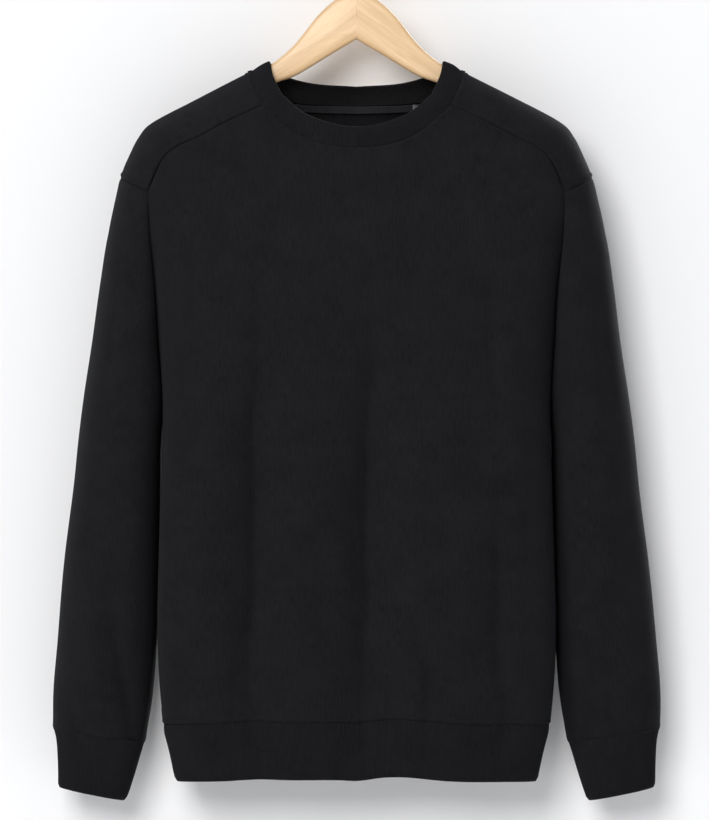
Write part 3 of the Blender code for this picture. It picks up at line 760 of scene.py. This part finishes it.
# %% Hem rib
HEM_RINGS = [(0.15, 0.008, 0.017), (0.5, 0.034, 0.058), (1.0, 0.065, 0.1)]
hem_seam = np.vstack([FRONT[-1], BACK[-1][-2:0:-1]])


def ring_normals(ring):
    """Normals in plan of a closed ring round the body, pointing out."""
    along = np.roll(ring, -1, axis=0) - np.roll(ring, 1, axis=0)
    made = np.stack([along[:, 2], 0 * along[:, 0], -along[:, 0]], axis=1)
    made /= np.linalg.norm(made, axis=1, keepdims=True)
    return made * np.sign((made * ring * [1, 0, 1]).sum())


hem_out = ring_normals(hem_seam)
hem_press = press(hem_seam, hem_out, FRONT_FOLDS, -1) + press(hem_seam, hem_out, BACK_FOLDS, 1)
hem_rings = [hem_seam - [0, 1.6, 0] - hem_out * (hem_press + 0.9)[:, None]]
for share, across, deep in HEM_RINGS:
    ring = hem_seam * [1 - across, 1, 1 - deep] + [0, HEM_RIB_HEIGHT * share, 0]
    hem_rings.append(ring - hem_out * (hem_press * (1 - 0.4 * share))[:, None])
hem_rib = ribbed("hem_rib_cloth", hem_rings, 22, RIB_WALL, False, 32)

# %% Cuffs
CUFF_DROOP = 2.5
cuff_seam = SLEEVE[-1][:-1]
cuff_middle = cuff_seam.mean(axis=0) * [1, 0, 1]
cuff_rings = [(cuff_seam - cuff_middle) * [0.975, 1, 0.975] + cuff_middle - [0, 1.6, 0]]
for row in CUFF_SECTIONS[1:]:
    ring = slant(sleeve_ring(row[0], CUFF_SECTIONS)[:-1], 1.0)
    ring[:, 1] += CUFF_DROOP * (row[0] - CUFF_SEAM) / (CUFF_SECTIONS[-1][0] - CUFF_SEAM)
    cuff_rings.append(ring)
cuff_rings = np.array(cuff_rings)
cuff_left = ribbed("cuff_left_cloth", cuff_rings * [-1, 1, 1], 22, RIB_WALL, True, 33)
cuff_right = ribbed("cuff_right_cloth", cuff_rings, 22, RIB_WALL, False, 34)

# %% [markdown]
# ## Neck tape and label
#
# A tape covers the neck seam inside the back, so that it doesn't scratch. It follows the back
# panel's own points, moved inward. A blank folded label hangs from it.

# %% Neck tape
TAPE_HEIGHT = 7.5
TAPE_REACH = 78.0
TAPE_WALL = 1.0
TAPE_STANDS_OFF = 1.6
upper, lower = BACK[0], BACK[CAP_ROWS // 4]
down = (lower - upper) / np.linalg.norm(lower - upper, axis=1, keepdims=True)
keep = np.abs(upper[:, 0]) < TAPE_REACH
upper, down = upper[keep], down[keep]
inward = np.cross(down, np.gradient(upper, axis=0))
inward /= np.linalg.norm(inward, axis=1, keepdims=True)
inward *= -np.sign(inward[:, 2:3])
tape_top = upper + inward * (WALL + TAPE_STANDS_OFF) + down * 0.4
tape_rows = np.array([tape_top + down * TAPE_HEIGHT * share for share in np.linspace(0, 1, 9)])


def tape_shape(points, normals, away):
    """The tape's two stitched edges lie a little lower than its middle."""
    return -0.25 * np.clip(1 - away / 1.5, 0, 1)


neck_tape = cloth("neck_tape_cloth", [(tape_rows, True)], TAPE_WALL, tape_shape)

# %% Blank label
label_low, label_high = (np.array(corner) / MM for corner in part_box("size_label"))
side = np.linspace(label_low[0], label_high[0], 13)
fall = np.linspace(-label_high[2], -label_low[2], 20)
x, drop = np.meshgrid(side, fall)
share = (drop - fall[0]) / (fall[-1] - fall[0])
depth = label_low[1] + 0.1 - 1.2 * share ** 2 + 0.4 * np.sin((x - side[0]) / 10 * math.pi) * share
label_rows = np.stack([x, drop, depth], axis=-1)
size_label = cloth("size_label_cloth", [(label_rows, False)], 0.7, lambda p, n, away: 0 * away)

# %% [markdown]
# ## Stitches
#
# The seams are topstitched a few millimetres beside the seam. A stitch is a small spindle of
# thread that lies on the cloth. Each line is one joined mesh: its points are found on the cloth
# at a steady distance along the line, and a spindle is laid from one to the next.

# %% Lines beside a seam
STITCH_PITCH = 3.2
STITCH_LENGTH = 2.5
THREAD = 0.42


def beside(rows, distance):
    """The points of each column that lie a distance from the grid's first row."""
    steps = np.linalg.norm(np.diff(rows[:14], axis=0), axis=2)
    run = np.vstack([np.zeros(rows.shape[1]), np.cumsum(steps, axis=0)])
    return np.array([[np.interp(distance, run[:, i], rows[:14, i, k]) for k in range(3)]
                     for i in range(rows.shape[1])])


def stitches(name, panel, lines, sunk=0.12):
    """Stitches along lines of (x, drop, depth), laid on the outer face of a panel."""
    tree = BVHTree.FromPolygons([v.co for v in panel.data.vertices],
                                [tuple(p.vertices) for p in panel.data.polygons])
    points, faces = [], []
    ring = [(math.cos(a), math.sin(a)) for a in np.linspace(0, 2 * math.pi, 5, endpoint=False)]
    for line in lines:
        length = np.linalg.norm(np.diff(line, axis=0), axis=1).sum()
        path = to_space(even(line, 2 * int(length / STITCH_PITCH)))
        for i in range(0, len(path) - 2, 2):
            place, normal, _, _ = tree.find_nearest(Vector(path[i + 1]))
            along = (Vector(path[i + 2]) - Vector(path[i])).normalized()
            across = normal.cross(along).normalized()
            centre = place + normal * (THREAD / 2 - sunk) * MM
            start = len(points)
            points.append(centre - along * STITCH_LENGTH / 2 * MM - normal * 0.3 * MM)
            for end in (-0.28, 0.28):
                for a, b in ring:
                    points.append(centre + along * end * STITCH_LENGTH * MM
                                  + (across * a + normal * b) * THREAD * MM / 2 * 1.6)
            points.append(centre + along * STITCH_LENGTH / 2 * MM - normal * 0.3 * MM)
            for k in range(5):
                j = (k + 1) % 5
                faces.append((start, start + 1 + j, start + 1 + k))
                faces.append((start + 1 + k, start + 1 + j, start + 6 + j, start + 6 + k))
                faces.append((start + 11, start + 6 + k, start + 6 + j))
    data = bpy.data.meshes.new(name)
    data.from_pydata(points, [], faces)
    data.shade_smooth()
    shape = bmesh.new()
    shape.from_mesh(data)
    bmesh.ops.recalc_face_normals(shape, faces=shape.faces)
    shape.to_mesh(data)
    shape.free()
    print(name, len(faces) // 15, "stitches")
    return new_piece(name, data)


# %% All the stitch lines
ACROSS = np.array([-1, 1, 1])
neck_cols = slice(SHOULDER_COLS, -SHOULDER_COLS)
flap_side = FLAP.swapaxes(0, 1)
shoulder_line = beside(FLAP[::-1], 4.6)[1:-1]
neck_flap = beside(flap_side[::-1], 4.6)[2:-2]
arm_flap = beside(flap_side, 5.0)[2:-2]
arm_back = beside(BACK.swapaxes(0, 1), 5.0)[2:CAP_ROWS + BLEND_ROWS]
front_thread = stitches("front_stitches", front, [
    beside(FRONT[:, neck_cols], 4.6), beside(FRONT[::-1, 4:-4], 4.4)])
back_thread = stitches("back_stitches", back, [
    beside(BACK[:, neck_cols], 4.6), beside(BACK[::-1, 4:-4], 4.4),
    shoulder_line, shoulder_line * ACROSS, neck_flap, neck_flap * ACROSS,
    arm_flap, arm_flap * ACROSS, arm_back, arm_back * ACROSS])
sleeve_line = beside(SLEEVE[::-1, 2:-2], 4.2)
sleeve_left_thread = stitches("sleeve_left_stitches", sleeve_left, [sleeve_line * ACROSS])
sleeve_right_thread = stitches("sleeve_right_stitches", sleeve_right, [sleeve_line])

# %% [markdown]
# ## Hanger
#
# The hanger is two arms of beech, mitred in the middle, with a steel wire hook. An arm is cut
# from a flat board along an outline and its edges are rounded over, so it is drawn as a flat
# curve with a bevel, cut off square at the mitre, and shaded smooth except at that cut.

# %% Outline of an arm
HANGER_THICK = 11.0
HANGER_EDGE = 4.5
ARM_TOP = [(0, 60), (18, 64.5), (30, 73), (42.5, 86), (55.5, 103), (68.5, 117), (87.5, 131.4)]
ARM_TIP = [(202, 197), (199.5, 206), (189, 207.5)]
ARM_UNDER = [(134, 176), (106.5, 163), (81.5, 149.5), (59.5, 141), (24.5, 120), (0, 105.5)]
PAST_MITRE = [(-9, 60), (-9, 100)]
MITRE_GAP = 0.06
UNDER_CLOTH = 3.1


def arm_outline():
    """An arm's outline, from just past the mitre, out over the top, round the tip and back."""
    ridge = spline([(x, drop) for x, drop in RIDGE])[::-1]
    ridge = ridge[ridge[:, 0] < ARM_TIP[0][0] - 8]
    along = np.gradient(ridge, axis=0)
    along /= np.linalg.norm(along, axis=1, keepdims=True)
    crown = ridge + np.stack([-along[:, 1], along[:, 0]], axis=1) * UNDER_CLOTH
    top = spline([PAST_MITRE[0]] + ARM_TOP + [tuple(p) for p in crown[8::14]] + ARM_TIP[:1], 9)
    tip = spline(ARM_TIP, 12)[1:]
    under = spline(ARM_TIP[-1:] + ARM_UNDER + [PAST_MITRE[1]], 9)[1:]
    return np.vstack([top, tip, under])


# %% Arms and hook
def hanger_arm(name, side):
    """One wooden arm; side is -1 or 1."""
    curve = bpy.data.curves.new(name, "CURVE")
    curve.dimensions = "2D"
    curve.fill_mode = "BOTH"
    curve.extrude = (HANGER_THICK / 2 - HANGER_EDGE) * MM
    curve.bevel_depth = HANGER_EDGE * MM
    curve.bevel_resolution = 5
    curve.offset = -HANGER_EDGE * MM
    line = curve.splines.new("POLY")
    points = arm_outline()[::side]
    line.points.add(len(points) - 1)
    for point, (x, drop) in zip(line.points, points):
        point.co = (side * x * MM, -drop * MM, 0, 1)
    line.use_cyclic_u = True
    piece = new_piece(name, curve)
    piece.rotation_euler = (math.pi / 2, 0, 0)
    only_selected(piece)
    bpy.ops.object.convert(target="MESH")
    bpy.ops.object.transform_apply(location=False, rotation=True, scale=False)
    piece = bpy.context.object
    bpy.ops.object.mode_set(mode="EDIT")
    bpy.ops.mesh.select_all(action="SELECT")
    bpy.ops.mesh.remove_doubles(threshold=1e-5)
    bpy.ops.mesh.bisect(plane_co=(side * MITRE_GAP / 2 * MM, 0, 0), plane_no=(side, 0, 0),
                        use_fill=True, clear_inner=True)
    bpy.ops.mesh.select_all(action="SELECT")
    bpy.ops.mesh.normals_make_consistent(inside=False)
    bpy.ops.object.mode_set(mode="OBJECT")
    bpy.ops.object.shade_smooth_by_angle(angle=math.radians(40))
    print(name, len(piece.data.polygons), "faces")
    return piece


def smooth_copy(node_name, name):
    """A joined and smoothly shaded copy of a node."""
    piece = new_piece(name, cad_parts[node_name].data.copy())
    only_selected(piece)
    bpy.ops.object.mode_set(mode="EDIT")
    bpy.ops.mesh.select_all(action="SELECT")
    bpy.ops.mesh.remove_doubles(threshold=1e-5)
    bpy.ops.object.mode_set(mode="OBJECT")
    bpy.ops.object.shade_smooth_by_angle(angle=math.radians(60))
    return piece


arm_left = hanger_arm("arm_left_wood", -1)
arm_right = hanger_arm("arm_right_wood", 1)
hook = smooth_copy("hanger_hook", "hook_wire")

# %% [markdown]
# ## Cloth materials
#
# Black fleece is a matt cloth: almost no gloss, a faint sheen from its nap at grazing angles,
# and a fine knit whose wales run down the cloth. The texture map is in metres, so the knit's
# pitch is written directly. All of it is small, so it is bump, with a slight change of colour.

# %% Node helpers
def new_material(name):
    """An empty Principled material: its node tree and its shader."""
    made = bpy.data.materials.new(name)
    made.use_nodes = True
    return made, made.node_tree, made.node_tree.nodes["Principled BSDF"]


def node(tree, kind, inputs=None, **settings):
    """A node with its settings and inputs; an input may be a value or another node's output."""
    made = tree.nodes.new(kind)
    for key, value in settings.items():
        setattr(made, key, value)
    for key, value in (inputs or {}).items():
        if isinstance(value, bpy.types.NodeSocket):
            tree.links.new(value, made.inputs[key])
        else:
            made.inputs[key].default_value = value
    return made


def math_node(tree, operation, *values):
    """A Math node's output."""
    return node(tree, "ShaderNodeMath", dict(enumerate(values)), operation=operation).outputs[0]


# %% Knitted cloth
def knit(name, dark, light, wale, course, depth, sheen, nap=0.35):
    """A knitted cloth whose wales are wale apart across and whose courses are course apart."""
    made, tree, shader = new_material(name)
    place = node(tree, "ShaderNodeUVMap", uv_map="Cloth").outputs["UV"]
    split = node(tree, "ShaderNodeSeparateXYZ", {0: place})
    across = math_node(tree, "MULTIPLY", split.outputs[0], 2 * math.pi / wale)
    down = math_node(tree, "MULTIPLY", split.outputs[1], 2 * math.pi / course)
    rows = math_node(tree, "SINE", math_node(tree, "ADD", down, math_node(tree, "COSINE", across)))
    loops = math_node(tree, "ADD", math_node(tree, "COSINE", across),
                      math_node(tree, "MULTIPLY", rows, 0.4))
    solid = node(tree, "ShaderNodeTexCoord").outputs["Object"]
    fuzz = node(tree, "ShaderNodeTexNoise", {"Vector": solid, "Scale": 900, "Detail": 3})
    cloud = node(tree, "ShaderNodeTexNoise", {"Vector": solid, "Scale": 38, "Detail": 5,
                                              "Roughness": 0.62})
    height = math_node(tree, "ADD", loops, math_node(tree, "MULTIPLY", fuzz.outputs[0], 3.2 * nap))
    drawn_out = node(tree, "ShaderNodeMapping", {0: place, "Scale": (1.0, 0.22, 1.0)})
    streak = node(tree, "ShaderNodeTexNoise", {"Vector": drawn_out.outputs[0], "Scale": 520,
                                               "Detail": 2})
    speck = math_node(tree, "ADD", math_node(tree, "MULTIPLY", loops, 0.05),
                      math_node(tree, "ADD", math_node(tree, "MULTIPLY", fuzz.outputs[0], 0.42),
                                math_node(tree, "ADD",
                                          math_node(tree, "MULTIPLY", streak.outputs[0], 0.38),
                                          math_node(tree, "MULTIPLY", cloud.outputs[0], 0.3))))
    ramp = node(tree, "ShaderNodeValToRGB", {0: speck})
    ramp.color_ramp.elements[0].position = 0.38
    ramp.color_ramp.elements[1].position = 0.72
    ramp.color_ramp.elements[0].color = (*dark, 1)
    ramp.color_ramp.elements[1].color = (*light, 1)
    bump = node(tree, "ShaderNodeBump", {"Height": height, "Strength": 0.55, "Distance": depth})
    tree.links.new(ramp.outputs[0], shader.inputs["Base Color"])
    tree.links.new(bump.outputs[0], shader.inputs["Normal"])
    shader.inputs["Roughness"].default_value = 0.94
    shader.inputs["Specular IOR Level"].default_value = 0.07
    shader.inputs["Sheen Weight"].default_value = sheen
    shader.inputs["Sheen Roughness"].default_value = 0.55
    shader.inputs["Sheen Tint"].default_value = (0.86, 0.9, 1.0, 1)
    return made


fleece = knit("Fleece", (0.0035, 0.0035, 0.0041), (0.0098, 0.0098, 0.0112), 0.0013, 0.0011,
              0.00018, 0.015)
rib = knit("Rib", (0.0034, 0.0034, 0.0039), (0.009, 0.009, 0.0102), 0.0013, 0.001, 0.00015, 0.015)
tape = knit("Tape", (0.012, 0.012, 0.0135), (0.022, 0.022, 0.025), 0.0008, 0.0016, 0.0001, 0.02)
label = knit("Label", (0.06, 0.06, 0.063), (0.11, 0.11, 0.115), 0.0004, 0.0004, 0.00004, 0.0)
print("cloth materials:", fleece.name, rib.name, tape.name, label.name)

# %% Thread
thread, thread_tree, thread_shader = new_material("Thread")
thread_place = node(thread_tree, "ShaderNodeTexCoord").outputs["Object"]
thread_noise = node(thread_tree, "ShaderNodeTexNoise", {"Vector": thread_place, "Scale": 1500})
thread_ramp = node(thread_tree, "ShaderNodeValToRGB", {0: thread_noise.outputs[0]})
thread_ramp.color_ramp.elements[0].color = (0.004, 0.004, 0.0046, 1)
thread_ramp.color_ramp.elements[1].color = (0.01, 0.01, 0.0112, 1)
thread_tree.links.new(thread_ramp.outputs[0], thread_shader.inputs["Base Color"])
thread_shader.inputs["Roughness"].default_value = 0.85
thread_shader.inputs["Specular IOR Level"].default_value = 0.12

# %% [markdown]
# ## Wood and steel
#
# Beech is pale and warm, with long fine grain along each arm, short darker flecks and a thin
# clear lacquer. The grain is noise that a Mapping node turns to the arm's slope and stretches.

# %% Wood
def beech(name, slope):
    """Lacquered beech with its grain along a slope in degrees."""
    made, tree, shader = new_material(name)
    solid = node(tree, "ShaderNodeTexCoord").outputs["Object"]
    turned = node(tree, "ShaderNodeMapping", {0: solid, "Rotation": (0, math.radians(slope), 0)})
    long = node(tree, "ShaderNodeMapping", {0: turned.outputs[0], "Scale": (5, 60, 90)})
    broad = node(tree, "ShaderNodeTexNoise", {"Vector": long.outputs[0], "Scale": 1.6,
                                              "Detail": 6, "Distortion": 0.6})
    fine = node(tree, "ShaderNodeMapping", {0: turned.outputs[0], "Scale": (60, 900, 900)})
    flecks = node(tree, "ShaderNodeTexNoise", {"Vector": fine.outputs[0], "Scale": 1.2,
                                               "Detail": 3})
    mixed = math_node(tree, "ADD", math_node(tree, "MULTIPLY", broad.outputs[0], 0.7),
                      math_node(tree, "MULTIPLY", flecks.outputs[0], 0.3))
    ramp = node(tree, "ShaderNodeValToRGB", {0: mixed})
    ramp.color_ramp.elements[0].position = 0.36
    ramp.color_ramp.elements[1].position = 0.62
    ramp.color_ramp.elements[0].color = (0.62, 0.395, 0.195, 1)
    ramp.color_ramp.elements[1].color = (0.78, 0.54, 0.305, 1)
    bump = node(tree, "ShaderNodeBump", {"Height": mixed, "Strength": 0.25, "Distance": 0.0002})
    tree.links.new(ramp.outputs[0], shader.inputs["Base Color"])
    tree.links.new(bump.outputs[0], shader.inputs["Normal"])
    shader.inputs["Roughness"].default_value = 0.42
    shader.inputs["Coat Weight"].default_value = 0.25
    shader.inputs["Coat Roughness"].default_value = 0.3
    return made


ARM_SLOPE = 33.0
wood_left = beech("Beech left", ARM_SLOPE)
wood_right = beech("Beech right", -ARM_SLOPE)

# %% Steel
steel, steel_tree, steel_shader = new_material("Steel")
steel_place = node(steel_tree, "ShaderNodeTexCoord").outputs["Object"]
steel_noise = node(steel_tree, "ShaderNodeTexNoise", {"Vector": steel_place, "Scale": 600,
                                                      "Detail": 4})
steel_rough = node(steel_tree, "ShaderNodeMapRange", {0: steel_noise.outputs[0], 3: 0.16, 4: 0.34})
steel_tree.links.new(steel_rough.outputs[0], steel_shader.inputs["Roughness"])
steel_shader.inputs["Base Color"].default_value = (0.62, 0.62, 0.64, 1)
steel_shader.inputs["Metallic"].default_value = 1.0

# %% [markdown]
# ## Giving every piece its finish and its place
#
# Each piece rides on the one body of this model, takes the place of its node, which is hidden,
# and gets its finish. The size each piece of cloth was cut to is printed.

# %% Ride, replace, finish
PIECES = [
    (front, fleece, "front", "fleece"), (back, fleece, "back", "fleece"),
    (sleeve_left, fleece, "sleeve_left", "fleece"),
    (sleeve_right, fleece, "sleeve_right", "fleece"),
    (neckband, rib, "neckband", "rib"), (hem_rib, rib, "hem_rib", "rib"),
    (cuff_left, rib, "cuff_left", "rib"), (cuff_right, rib, "cuff_right", "rib"),
    (neck_tape, tape, "neck_tape", "tape"), (size_label, label, "size_label", "label"),
    (front_thread, thread, None, "fleece"), (back_thread, thread, None, "fleece"),
    (sleeve_left_thread, thread, None, "fleece"), (sleeve_right_thread, thread, None, "fleece"),
    (arm_left, wood_left, "hanger_arm_left", "wood"),
    (arm_right, wood_right, "hanger_arm_right", "wood"),
    (hook, steel, "hanger_hook", "steel"),
]
for piece, finish, stands_for, slot in PIECES:
    piece.data.materials.clear()
    piece.data.materials.append(finish)
    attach(piece, "root")
    if stands_for:
        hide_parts(stands_for)
print(len(PIECES), "pieces ride on the body")


# %% The size each piece of cloth was cut to
def cut_size(rows, closed=False):
    """Width, length and area of the flat cloth of a grid, in metres and square metres."""
    ring = np.concatenate([rows, rows[:, :1]], axis=1) if closed else rows
    across = np.linalg.norm(np.diff(ring, axis=1), axis=2).sum(axis=1)
    down = np.linalg.norm(np.diff(rows, axis=0), axis=2).sum(axis=0)
    a, b = np.diff(ring[:-1], axis=1), np.diff(ring, axis=0)[:, :-1]
    area = np.linalg.norm(np.cross(a, b), axis=2).sum()
    return across.max() * MM, down.max() * MM, area * MM * MM


def cut(piece, rows, closed=False, extra=0.0):
    """Prints the size of a piece of cloth's own pattern."""
    width, length, area = cut_size(rows, closed)
    width, length = round(width, 4), round(length + extra, 4)
    area = round(min(area + extra * width * 0.6, 0.999 * width * length), 6)
    print(piece.name, "cut", width, "x", length, "m,", area, "m2")


flap_reach = float(np.linalg.norm(np.diff(FLAP[:, 0], axis=0), axis=1).sum()) * MM
cut(front, FRONT)
cut(back, BACK, extra=flap_reach)
cut(sleeve_left, SLEEVE)
cut(sleeve_right, SLEEVE)
cut(neckband, np.array([neck_seam, bulge, neck_edge]), closed=True)
cut(hem_rib, np.array(hem_rings), closed=True)
cut(cuff_left, cuff_rings, closed=True)
cut(cuff_right, cuff_rings, closed=True)
cut(size_label, label_rows)

# %% [markdown]
# ## Wall, floor and light
#
# The garment hangs a few centimetres off a pale wall. The wall is solid only from its front:
# from behind, and for light from behind, it is clear, so the back can be looked at too. One
# large soft light stands in front, a little left and high. A second one is higher and lights
# only the garment, so its shoulders and folds show and the wall keeps a narrow shadow.

# %% Wall and floor
WALL_DEPTH = 0.076
FLOOR_DROP = -1.35


def sheet_of(name, size, place, turn, colour):
    """A large flat sheet for the room."""
    bpy.ops.object.select_all(action="DESELECT")
    bpy.ops.mesh.primitive_plane_add(size=size, location=place, rotation=turn)
    made, tree, shader = new_material(name)
    shader.inputs["Base Color"].default_value = (*colour, 1)
    shader.inputs["Roughness"].default_value = 0.9
    shader.inputs["Specular IOR Level"].default_value = 0.1
    room = bpy.context.object
    room.name = name
    room.data.materials.append(made)
    return room, tree, shader


room_wall, wall_tree, wall_shader = sheet_of(
    "Room wall", 9.0, (0, WALL_DEPTH, 0), (math.pi / 2, 0, 0), (0.86, 0.86, 0.865))
sheet_of("Room floor", 9.0, (0, -2.0, FLOOR_DROP), (0, 0, 0), (0.8, 0.8, 0.8))
behind = node(wall_tree, "ShaderNodeNewGeometry").outputs["Backfacing"]
shadow_ray = node(wall_tree, "ShaderNodeLightPath").outputs["Is Shadow Ray"]
clear = node(wall_tree, "ShaderNodeBsdfTransparent").outputs[0]
either = math_node(wall_tree, "MAXIMUM", behind, shadow_ray)
blend = node(wall_tree, "ShaderNodeMixShader", {0: either, 1: wall_shader.outputs[0], 2: clear})
wall_tree.links.new(blend.outputs[0], wall_tree.nodes["Material Output"].inputs["Surface"])


# %% Lights
def soft_light(name, place, size, power, colour=(1, 1, 1), only=None):
    """A large square light that looks at the garment, and may light only some objects."""
    data = bpy.data.lights.new(name, "AREA")
    data.size = size
    data.energy = power
    data.color = colour
    light = bpy.data.objects.new(name, data)
    light.location = place
    aim = Vector((0, 0, -0.45)) - Vector(place)
    light.rotation_euler = aim.to_track_quat("-Z", "Y").to_euler()
    light.light_linking.receiver_collection = only
    bpy.context.scene.collection.objects.link(light)


on_garment = bpy.data.collections.new("Lit by the side light")
for piece, *_, slot in PIECES:
    if slot not in ("wood", "steel"):
        on_garment.objects.link(piece)
soft_light("Front", (-1.3, -5.4, 1.3), 2.2, 215, (1.0, 0.995, 0.985))
soft_light("High", (-2.3, -2.7, 2.9), 1.4, 130, (1.0, 0.995, 0.985), on_garment)
soft_light("Back", (1.6, 2.9, 0.9), 2.2, 150)
world = bpy.data.worlds.new("Room")
world.use_nodes = True
world.node_tree.nodes["Background"].inputs[0].default_value = (0.93, 0.95, 1.0, 1)
world.node_tree.nodes["Background"].inputs[1].default_value = 0.44
bpy.context.scene.world = world
bpy.context.scene.view_settings.view_transform = "Standard"
